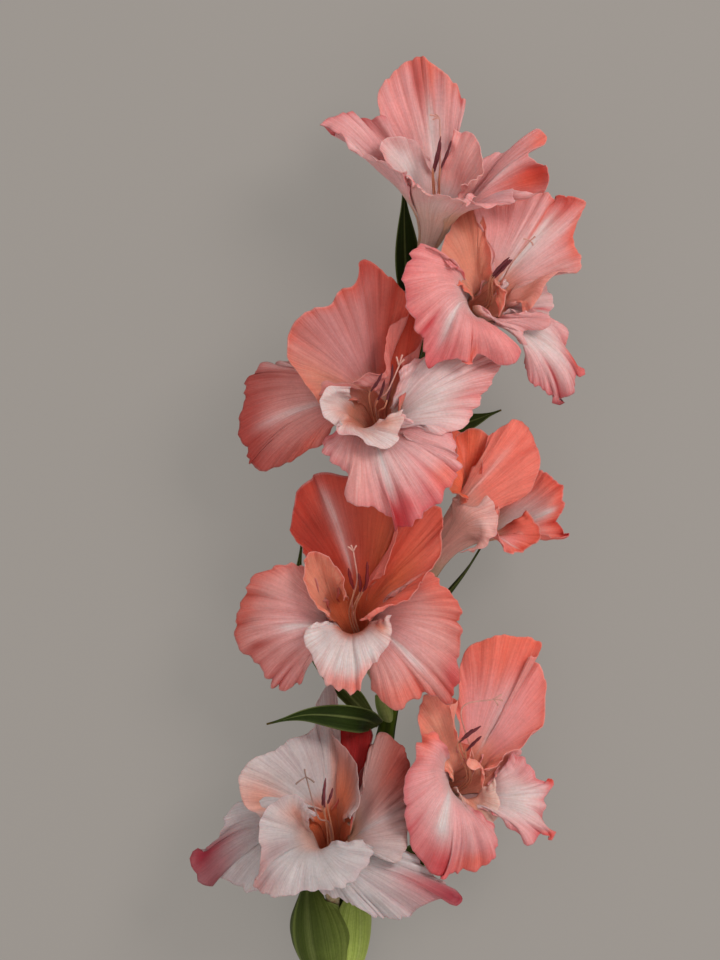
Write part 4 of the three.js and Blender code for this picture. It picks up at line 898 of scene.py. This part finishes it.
# Only the shaded face of this inner tepal shows; its deep red is painted shade.
tepal("floret_7", INNER, -55, 0, 1.2, 1.5, 0, orange, painted_shadow_red, painted_shadow_red, wine,
    [(13, 26, 0), (19, 36, -10), (19, 44, -14), (9, 50, -16), (1, 48, -16), (2, 40, -14), (5, 28, -6)],
    reach=2, rib_amount=0)


def bell(x, middle, reach):
    return np.exp(-(((x - middle) / reach) ** 2))


def wander(length, step):
    """An uneven swing between -1 and 1 along a length, which turns about every step millimetres."""
    knots = chance.uniform(-1, 1, int(length / step) + 6)

    def at(run):
        place = np.clip(np.asarray(run) / step + 2, 0, len(knots) - 1.001)
        first = np.floor(place).astype(int)
        return mix(knots[first], knots[first + 1], smooth(0, 1, place - first))

    return at


def columns_of(leaf):
    """The places t across a tepal, about evenly spaced along its margin."""
    length = run_of(through(leaf["margin"], pace=0)(evens(200)))[-1]
    count = int(np.clip(length / COLUMN_STEP, FEWEST_COLUMNS, MOST_COLUMNS)) // 2 * 2 + 1
    return np.linspace(-1, 1, count)


def tube_sheet(place, turn, lift):
    """The part of a tepal that is grown into the tube, from its foot to where the tepals part."""
    length = run_of(evenly(place["tube"], evens(50)))[-1]
    share = np.linspace(0, 1 - TEPAL_SUNK / length, TUBE_ROWS + 1)[:-1]
    line = evenly(place["tube"], share)
    ups = square_to(line[::-1], place["up"])[1][::-1]
    side = np.cross(unit(np.gradient(line, axis=0)), ups)
    radius = mix(TUBE_FOOT_RADIUS, place["mouth"], share**TUBE_FLARE) - TUBE_WALL / 2 + lift
    radius = radius * np.sqrt(smooth(-0.02, 0.05, share))
    way = np.cos(turn)[:, None] * ups[:, None] + np.sin(turn)[:, None] * side[:, None]
    span = np.linspace(-1, 1, len(turn))
    rounded = SEAM_RIDGE * bell(span, 0, 0.2) - SEAM_DEPTH * smooth(0.8, 1, np.abs(span))
    return line[:, None] + way * (radius[:, None] + rounded * share[:, None])[..., None]


def strayed(leaf, s):
    """The run along the margin that each place of a blade grows towards, by lines that wander a little."""
    return leaf["edge_run"] + STRAY * np.sin(3 * s[:, None] + leaf["chances"][3]) * (1 - s[:, None])


def folds(leaf, s):
    """The depth, up to 1, of the narrow folds that run in from the margin."""
    valley = (1 - np.abs(leaf["folding"](strayed(leaf, s)))) ** 6
    deep = 0.55 + 0.45 * leaf["flush"](strayed(leaf, s))
    return valley * deep * smooth(0.35, 1, s)[:, None]


def blade_sheet(place, leaf, turn, lift):
    """The free part of a tepal: veins that leave the tube's rim in a claw and end on the margin."""
    t = leaf["t"]
    throat, axis = place["throat"], place["axis"]
    end = throat + through(leaf["margin"], pace=0)((t + 1) / 2)
    in_wall = place["mouth"] - TUBE_WALL / 2 + lift

    def radial(angle):
        return np.cos(angle)[:, None] * place["up"] + np.sin(angle)[:, None] * place["side"]

    low = radial(turn)
    root = throat + low * (in_wall - TEPAL_SUNK * WALL_LEAN) - axis * TEPAL_SUNK
    high = radial(np.radians(leaf["seat"] + leaf["claw_span"] * t))
    rim = throat + high * in_wall
    lean = math.radians(leaf["lean"])
    claw = axis * math.cos(lean) + high * math.sin(lean)
    reach = np.minimum(leaf["rise"], CLAW_SHARE * np.linalg.norm(rim - end, axis=1))[:, None]
    bend = rim + claw * reach + high * (lift * LAYERS_SPREAD)
    shoulder = mix(bend, end, SHOULDER) + axis * leaf["arch"] * np.linalg.norm(end - bend, axis=1)[:, None]
    end_pace = 3 * np.linalg.norm(end - shoulder, axis=1)
    stretch = sum((deep * bell(t, at, wide) for at, deep, wide in leaf["nicks"]), np.zeros(len(t)))
    for at, wide, degrees, roll in leaf["curls"]:
        angle = math.radians(degrees)
        shown = math.sin(min(angle, math.pi / 2)) / angle
        stretch = stretch + bell(t, at, wide) * roll * (1 / shown - 1)
    edge_run = leaf["edge_run"] = run_of(end)
    for key, step in SWINGS.items():
        leaf[key] = wander(edge_run[-1], step)
    rows = evens(BLADE_ROWS)
    s = rows * (1 + ROW_CROWDING - ROW_CROWDING * rows)
    lobed = LOBE_NICK * leaf["frill"] * leaf["lobes"](edge_run)
    lobed = lobed + CRIMP_NICK * leaf["fringe"] * leaf["crimps"](edge_run)
    tips = 1 + (stretch + lobed - FOLD_NICK * folds(leaf, np.ones(1))[0]) / end_pace
    run = s[:, None] * mix(1, tips, smooth(0.5, 1, s)[:, None])
    grid = bezier(root, bend, shoulder, end)(run)
    broader = leaf["broad"] * t * np.abs(t) * (smooth(0, 0.18, s) * smooth(0.8, 0.4, s))[:, None]
    return s, grid + unit(np.gradient(grid, axis=1)) * broader[..., None]


def creases(leaf):
    """Three shallow creases of a tepal's own, as (t, millimetres, width, from s)."""
    draws = leaf["chances"].reshape(4, 4)[:3] / (2 * math.pi)
    return [(1.6 * a - 0.8, -0.5 - 0.9 * b, 0.03 + 0.03 * c, 0.35 + 0.35 * d) for a, b, c, d in draws]


def ruffled(grid, s, leaf):
    """Adds the waves, ruffles, crimps, folds and pleats to a blade."""
    t, phase, frill = leaf["t"], leaf["chances"], leaf["frill"]
    run, valley = strayed(leaf, s), folds(leaf, s)
    s = s[:, None]
    swing = EVEN_WAVE * np.sin(math.pi * leaf["waves"] * t + leaf["phase"]) + SWAY_WAVE * leaf["sway"](run)
    wave = frill * smooth(0.4, 1, s) * smooth(1, 0.85, np.abs(t)) * swing
    wave = wave + RUFFLE_WAVE * frill * smooth(0.6, 1, s) ** 1.4 * leaf["ruffle"](run)
    wave = wave + CRIMP_WAVE * leaf["fringe"] * smooth(0.75, 1, s) * leaf["crimps"](run)
    wave = wave - FOLD_DEPTH * valley
    beside = np.sin(s * 22 + phase[8]) * smooth(0.8, 1, np.abs(t)) * smooth(0.35, 0.6, s) * smooth(1, 0.85, s)
    wave = wave + SIDE_WAVE * beside
    buckle = np.sin(5 * s + 3 * t + phase[9]) + np.sin(8 * s - 4 * t + phase[10])
    wave = wave + BUCKLE * buckle * smooth(0.15, 0.5, s)
    wave = wave - RIB_DEPTH * bell(t, leaf["rib_at"], 0.05) * smooth(0.1, 0.35, s) * smooth(1, 0.8, s)
    for at, deep, wide, start in [*leaf["pleats"], *creases(leaf)]:
        wave = wave + deep * np.exp(-np.abs(t - at) / wide) * smooth(start, 1, s)
    return grid + facing(grid) * wave[..., None]


def curled(grid, leaf):
    """Rolls the margin over towards the front where the tepal has curls."""
    t = leaf["t"]
    step = np.diff(grid, axis=0)
    size = np.linalg.norm(step, axis=2)
    inland = np.cumsum(size[::-1], axis=0)[::-1]
    angle = np.zeros_like(size)
    for at, wide, degrees, reach in leaf["curls"]:
        rolled = np.clip(1 - inland / reach, 0, 1)
        angle = angle + math.radians(degrees) * bell(t, at, wide) * rolled
    front = facing(grid)[1:]
    step = step * np.cos(angle)[..., None] + front * (size * np.sin(angle))[..., None]
    return np.concatenate([grid[:1], grid[:1] + np.cumsum(step, axis=0)])


def painted(grid, s, leaf):
    """The tones of a tepal's front and back, from its pigments."""
    t = leaf["t"]
    size = np.linalg.norm(np.diff(grid, axis=0), axis=2)
    along = np.concatenate([np.zeros((1, len(t))), np.cumsum(size, axis=0)])
    inland = along[-1] - along
    wide = np.linalg.norm(np.diff(grid, axis=1), axis=2)
    from_left = np.concatenate([np.zeros((len(grid), 1)), np.cumsum(wide, axis=1)], axis=1)
    aside = np.minimum(from_left, from_left[:, -1:] - from_left)
    aside = aside + SIDES_OUT_OF_REACH * smooth(0.5, 0.2, s)[:, None]
    run, valley = strayed(leaf, s), folds(leaf, s)
    streak = leaf["crimps"](run) + 0.7 * leaf["ruffle"](run)
    reach = leaf["reach"] * (1 + 0.6 * leaf["sway"](run))
    shore = np.minimum(inland, aside * 1.3) + 0.45 * streak
    s = s[:, None]

    def lay(tone, colour, amount):
        return mix(tone, colour, np.broadcast_to(amount, tone.shape[:2])[..., None])

    tone = np.broadcast_to(leaf["body"], (*grid.shape[:2], 3))
    tone = lay(tone, leaf["heart"], HEART_WASH * bell(t, leaf["rib_at"], 0.5) * smooth(0.95, 0.45, s))
    tone = lay(tone, leaf["claw"], smooth(0.45, 0.12, s))
    warm = smooth(0.2, 0.45, s) * (0.62 + 0.38 * leaf["flush"](run))
    tone = lay(tone, leaf["edge"], EDGE_WASH * smooth(2.4 * reach, 0, shore) * warm)
    tone = lay(tone, leaf["edge"], EDGE_LINE * smooth(0.5 * reach + 0.5, 0.1, shore) * warm)
    rim = RIM_LIGHT * smooth(0.75, 0.25, inland) * smooth(0.6, 0.8, s)
    tone = lay(tone, mix(leaf["edge"], white, 0.45), rim)
    tone = lay(tone, leaf["edge"] * 0.8, FOLD_SHADE * valley)
    ridge = np.clip(leaf["ruffle"](run), 0, 1) ** 2 * smooth(0.55, 0.9, s)
    tone = lay(tone, mix(leaf["body"], white, 0.35), RIDGE_LIGHT * ridge)
    for at, deep, wide, start in [*leaf["pleats"], *creases(leaf)]:
        line = np.exp(-np.abs(t - at) / (0.5 * wide)) * smooth(start, 1, s)
        tone = lay(tone, leaf["edge"] * 0.9, np.clip(-PLEAT_SHADE * deep, 0, 0.8) * line)
    low, high = leaf["rib_run"]
    rib = bell(t, leaf["rib_at"], 0.045) + 0.35 * bell(t, leaf["rib_at"], 0.14)
    rib = rib * smooth(low - 0.1, low + 0.1, s) * smooth(high + 0.12, high - 0.12, s)
    tone = lay(tone, leaf["rib"], leaf["rib_amount"] * np.clip(rib, 0, 1))
    for at_s, at_t, s_reach, t_reach, colour, amount in leaf["marks"]:
        jitter = 0.03 * streak * s
        tone = lay(tone, colour, amount * bell(s + jitter, at_s, s_reach) * bell(t, at_t, t_reach))
    outside = leaf["body"] if leaf["outside"] is None else leaf["outside"]
    back = lay(tone, mix(outside, blush, 0.3), BACK_WASH)
    back = lay(back, leaf["tube"], smooth(0.5, 0.1, s))
    veins_run = leaf["edge_run"] - leaf["edge_run"][-1] / 2
    vein = np.stack(np.broadcast_arrays(veins_run, along + TUBE_VEINS, leaf["chances"][0] * 9), -1)
    return tone, back, vein


def seats_between(leaves, index):
    """The turns at which a tepal's part of the tube begins and ends, halfway to its neighbours' seats."""
    seats = [leaf["seat"] for leaf in leaves]
    own = seats[index]
    before = max((seat - own) % 360 - 360 for i, seat in enumerate(seats) if i != index)
    after = min((seat - own) % 360 for i, seat in enumerate(seats) if i != index)
    return own + before / 2 - 1, own + after / 2 + 1


def petal_skin(name, tint, strength):
    return living_skin(
        name, spacing=0.45, stretch=16.0, tint=tint, strength=strength, mottle=0.26, roughness=0.55,
        bump=0.55, subsurface=0.3, reach=(1.6, 0.5, 0.35), specular=0.3, sheen=0.05,
    )


coral_skin = petal_skin("coral_petal_flesh", (0.92, 0.64, 0.61), 0.58)
blush_skin = petal_skin("blush_petal_flesh", (0.82, 0.74, 0.76), 0.6)

tube_foot_tone = pigment(168, 160, 116)
# A bright orange painted deep inside each tube as a glow, standing in for light that shines in through the
# petals.
painted_throat_glow = pigment(228, 142, 102)
for place in florets:
    leaves = TEPALS[place["name"]]
    parts = []
    for index, leaf in enumerate(leaves):
        leaf["chances"] = chance.random(16) * 2 * math.pi
        leaf["t"] = columns_of(leaf)
        columns = len(leaf["t"])
        turn = np.radians(np.linspace(*seats_between(leaves, index), columns))
        lift = LAYER_GAP / 2 * leaf["layer"]
        s, blade = blade_sheet(place, leaf, turn, lift)
        blade = curled(ruffled(blade, s, leaf), leaf)
        grid = np.concatenate([tube_sheet(place, turn, lift * 0.3), blade])
        for _ in range(SMOOTHINGS):
            near = grid[TUBE_ROWS - 3 : TUBE_ROWS + 5]
            near[1:-1] = (near[:-2] + 2 * near[1:-1] + near[2:]) / 4
        front, back, vein = painted(blade, s, leaf)
        depth = evens(TUBE_ROWS)[:, None, None]
        # The inner wall runs from that painted glow at the tube's foot into the claw's own tone.
        inner_wall = mix(painted_throat_glow, leaf["claw"], smooth(0.4, 1, depth)) + np.zeros((1, columns, 1))
        outer_wall = mix(tube_foot_tone, leaf["tube"], smooth(0, 0.8, depth)) + np.zeros((1, columns, 1))
        wall_vein = np.repeat(vein[:1], TUBE_ROWS, axis=0) + (depth - 1) * (0, TUBE_VEINS, 0)
        thin = mix(1, MARGIN_THICKNESS / CLAW_THICKNESS, smooth(0, 0.8, s))
        thin = CLAW_THICKNESS * np.concatenate([np.ones(TUBE_ROWS), thin])[:, None]
        pairs = (inner_wall, front), (outer_wall, back), (wall_vein, vein)
        parts.append(sheet(grid, thin, *(np.concatenate(pair) for pair in pairs)))
    pale = place["name"] == "floret_7"
    piece = grow(place["name"] + "_tepals", parts, blush_skin if pale else coral_skin)
    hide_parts(place["name"] + "_perianth")

# Stamens and styles
# Each floret's three stamens and its style rise together from deep in the tube. A filament is a pale
# thread that carries a long maroon anther of two lobes; the style is paler and ends in three lobes.

TUBE_FLOOR = 0.14
PARTING = 0.45
FILAMENT_RADIUS = 0.34
FILAMENTS_APART = 1.2
ANTHER_RADIUS = 0.8
FRESH_ANTHER_RADIUS = 1
ANTHER_RINGS = 34
ANTHER_SIDES = 18
THREAD_RINGS = 44
THREAD_SIDES = 10
STYLE_RINGS = 64
STYLE_RADII = (0.42, 0.32)
LOBE_RINGS = 22
LOBE_SIDES = 12
LOBE_RADII = (0.24, 0.42)
COLUMN_RINGS = 6
COLUMN_SIDES = 14
COLUMN_RADII = (0.8, 1.5)
# The foot, middle and tip of each anther, from the middle of the throat.
STAMENS = {
    "floret_1": [
        [(-1.7, 18.3, 14), (0.3, 25.5, 15.6), (1.7, 32.3, 16)],
        [(1.5, 18.3, 14), (4.2, 24.5, 15.4), (6.2, 30.5, 16)],
        [(-1.2, 17, 11), (0.6, 23.5, 12.4), (1.9, 30, 13)],
    ],
    "floret_2": [
        [(0.9, 11, 20), (5, 15.4, 22.6), (8.6, 18.9, 24)],
        [(1.9, 10, 19.4), (6.2, 14.4, 21.8), (9.8, 18, 23)],
        [(1.4, 10.4, 16), (5.6, 14.8, 18), (9.2, 18.4, 19)],
    ],
    "floret_3": [
        [(-2.2, 9.5, 20), (0.8, 13.2, 24), (2.9, 17.2, 26)],
        [(4.3, 3.6, 20), (6.8, 13.8, 24), (7.2, 20.8, 26)],
        [(0.9, 5.6, 17), (2.8, 9.8, 20), (3.9, 14.2, 21.6)],
    ],
    "floret_4": [
        [(6, 7, 4), (9.6, 10.6, 5.4), (13, 13.6, 6)],
        [(8, 3.6, 4), (11.8, 7.2, 5.4), (15.4, 10, 6)],
        [(4, 9, 1), (7.4, 13, 2), (10.6, 16.4, 2.6)],
    ],
    "floret_5": [
        [(0.8, 12.9, 23), (-0.6, 17.4, 27), (-1.5, 21.9, 29)],
        [(4.5, 11.8, 23), (6.1, 15.1, 26), (6.5, 24.7, 29)],
        [(3.4, 11.8, 22), (3.5, 15.8, 25), (2.8, 19.7, 27)],
    ],
    "floret_6": [
        [(-4.5, 18.9, 20), (0.6, 23, 21.6), (5.2, 26.2, 22)],
        [(-3.4, 19.4, 18.8), (-0.6, 22.4, 20), (1.9, 24.7, 20.4)],
        [(-1, 15, 16), (2.4, 18.6, 17.4), (5.6, 21.6, 18)],
    ],
    "floret_7": [
        [(-2.2, 12.2, 18), (-2.4, 19, 20), (-1.8, 25.8, 20)],
        [(-0.9, 14.5, 17.4), (0.4, 18.2, 18.4), (1.3, 21.5, 18.6)],
        [(-3.2, 13.6, 16), (-2.8, 18, 17.6), (-2.4, 22.4, 18)],
    ],
}
# Where each style bends and parts, and the ends of its three lobes, from the middle of the throat.
STYLES = {
    "floret_1": [(1.6, 26, 11), (1.4, 40, 12), (-3, 41.6, 13), (-1.6, 39.6, 13), (-0.6, 42, 12)],
    "floret_2": [(10, 17, 21), (17.2, 25.8, 22), (14.6, 26.7, 23), (18.5, 24, 23), (19.4, 27.6, 22)],
    "floret_3": [(5.4, 10, 25), (9.9, 20, 28), (11.3, 24.6, 29), (8.8, 23.8, 29), (12, 22.6, 28)],
    "floret_4": [(11, 8, 6), (17.4, 14.4, 7), (19, 18.4, 7.6), (21.4, 16.2, 7.4), (17, 18, 7)],
    "floret_5": [(2.2, 18, 24), (0.6, 29, 28), (-0.4, 31.6, 29), (-1.8, 31, 29), (1.8, 31.4, 28)],
    "floret_6": [(-2.4, 34.4, 21), (10.5, 37.6, 22), (14, 39.6, 22.4), (14.4, 37, 22.4), (12.4, 35, 22)],
    "floret_7": [(-5.2, 10, 22), (-10, 26.7, 25), (-14.3, 23.7, 26), (-6.5, 24.5, 26), (-10.6, 30, 25.6)],
}

stamen_skin = living_skin(
    "stamen_and_style", spacing=0.4, stretch=2.5, tint=(0.8, 0.66, 0.66), strength=0.5, mottle=0.5,
    roughness=0.55, bump=0.6, subsurface=0.2, reach=(1.0, 0.6, 0.5),
)

filament_pale = pigment(192, 128, 100)
anther_maroon = pigment(98, 30, 38)
fresh_maroon = pigment(112, 4, 12)
anther_seam = pigment(126, 66, 74)
style_pale = pigment(204, 136, 122)
style_tip = pigment(204, 148, 136)
style_grey = pigment(150, 122, 112)
around = turns(ANTHER_SIDES)
groove = np.abs(np.sin(around))
anther_lobes = 0.6 + 0.4 * groove**0.7
share = evens(ANTHER_RINGS)
plump = np.sqrt(np.clip(np.sin(math.pi * np.clip(share, 0.01, 0.99)), 0, 1)) ** 0.7
for place in florets:
    throat, axis, up, side = (place[key] for key in ("throat", "axis", "up", "side"))
    floor, parting = evenly(place["tube"], np.array([TUBE_FLOOR, PARTING]))
    stout = np.linspace(*COLUMN_RADII, COLUMN_RINGS)[:, None]
    parts = [rod(np.linspace(floor, parting, COLUMN_RINGS), stout, COLUMN_SIDES, filament_pale)]
    fresh = place["name"] == "floret_5"
    maroon = fresh_maroon if fresh else anther_maroon
    anther_tone = mix(maroon if fresh else anther_seam, maroon, smooth(0.05, 0.5, groove[:, None]))
    for spread, spots in zip((1, -1, 0), STAMENS[place["name"]]):
        base, middle, top = throat + np.array(spots, float)
        apart = side * FILAMENTS_APART * spread
        line = through([parting + apart - up * 0.4, throat + apart, base, mix(base, middle, 0.5)])
        parts.append(rod(evenly(line, evens(THREAD_RINGS)), FILAMENT_RADIUS, THREAD_SIDES, filament_pale))
        full = (FRESH_ANTHER_RADIUS if fresh else ANTHER_RADIUS) * plump
        full = full * (1 + 0.12 * np.sin(share * 17 + spread))
        body = evenly(through([base, middle, top]), share)
        radius = full[:, None] * anther_lobes
        parts.append(rod(body, radius, ANTHER_SIDES, anther_tone, up=side, seed=20.0 + spread))
    bend, fork, *tips = throat + np.array(STYLES[place["name"]], float)
    line = through([parting + up * 0.8, throat + up * 3 + axis * 3, bend, fork])
    tip = style_grey if place["name"] == "floret_7" else style_tip
    tone = mix(style_pale, tip, evens(STYLE_RINGS)[:, None, None])
    slim = np.linspace(*STYLE_RADII, STYLE_RINGS)[:, None]
    parts.append(rod(evenly(line, evens(STYLE_RINGS)), slim, THREAD_SIDES, tone))
    for end in tips:
        line = bezier(mix(fork, end, -0.05), mix(fork, end, 0.6) + axis * 1.2, end)
        feathered = 1 + 0.18 * np.sin(np.arange(LOBE_RINGS) * 2.4)
        broad = (np.linspace(*LOBE_RADII, LOBE_RINGS) * feathered)[:, None]
        parts.append(rod(evenly(line, evens(LOBE_RINGS)), broad, LOBE_SIDES, tip, seed=30.0 + end[0]))
    piece = grow(place["name"] + "_stamens_and_style", parts, stamen_skin)
    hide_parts(place["name"] + "_stamens")

# Table, light and camera
# A plain pale table top, a large soft light from the upper right, a weaker one from the foot's side and
# an even sky, and a camera that looks straight down on the spike, as the photo faces it.

TABLE_HALF = 4
TABLE_GLOW = 0.66
SKY_STRENGTH = 0.66
VIEW_HEIGHT = 0.4128
VIEW_LEVEL = 0.045
CAMERA_RISE = 1.5
LONG_SIDE = 36.0

table_mesh = bpy.data.meshes.new("table_top")
corners = [(x * TABLE_HALF, y * TABLE_HALF, 0) for x, y in ((-1, -1), (1, -1), (1, 1), (-1, 1))]
table_mesh.from_pydata(corners, [], [(0, 1, 2, 3)])
table = bpy.data.objects.new("table_top", table_mesh)
bpy.context.collection.objects.link(table)
table_finish = bpy.data.materials.new("matt_table")
table_finish.use_nodes = True
grain = put(table_finish.node_tree, "TexNoise", {"Scale": 60.0, "Detail": 3.0}).outputs[0]
ramp = put(table_finish.node_tree, "ValToRGB", {0: grain})
table_tone = pigment(96, 90, 87)
ramp.color_ramp.elements[0].color = (*(table_tone * 0.98), 1)
ramp.color_ramp.elements[1].color = (*(table_tone * 1.02), 1)
table_shader = table_finish.node_tree.nodes["Principled BSDF"].inputs
table_finish.node_tree.links.new(ramp.outputs[0], table_shader["Base Color"])
table_shader["Roughness"].default_value = 0.9
table_shader["Specular IOR Level"].default_value = 0.1
table_shader["Emission Color"].default_value = (*pigment(154, 150, 144), 1)
table_shader["Emission Strength"].default_value = TABLE_GLOW
table_mesh.materials.append(table_finish)

view_middle = shift.copy()
sky = bpy.data.worlds.new("soft_sky")
sky.use_nodes = True
sky_shader = sky.node_tree.nodes["Background"].inputs
sky_shader["Color"].default_value = (1.0, 0.985, 0.96, 1)
sky_shader["Strength"].default_value = SKY_STRENGTH
bpy.context.scene.world = sky
for name, spot, size, power in (
    ("key_light", (1.1, 0.9, 1.35), 0.8, 18.5),
    ("front_light", (0.2, -0.9, 1.9), 1.6, 4.0),
):
    lamp = bpy.data.lights.new(name, "AREA")
    lamp.shape = "DISK"
    lamp.size = size
    lamp.energy = power
    lamp.color = (1.0, 0.97, 0.93)
    light = bpy.data.objects.new(name, lamp)
    light.location = spot + view_middle
    aim = view_middle - light.location
    light.rotation_euler = Vector(aim).to_track_quat("-Z", "Y").to_euler()
    light.visible_camera = False
    bpy.context.collection.objects.link(light)

lens = bpy.data.cameras.new("overhead_camera")
lens.sensor_width = LONG_SIDE
lens.lens = LONG_SIDE * CAMERA_RISE / VIEW_HEIGHT
camera = bpy.data.objects.new("overhead_camera", lens)
camera.location = (view_middle[0], view_middle[1], VIEW_LEVEL + CAMERA_RISE)
bpy.context.collection.objects.link(camera)
bpy.context.scene.camera = camera
bpy.context.scene.view_settings.view_transform = "Standard"
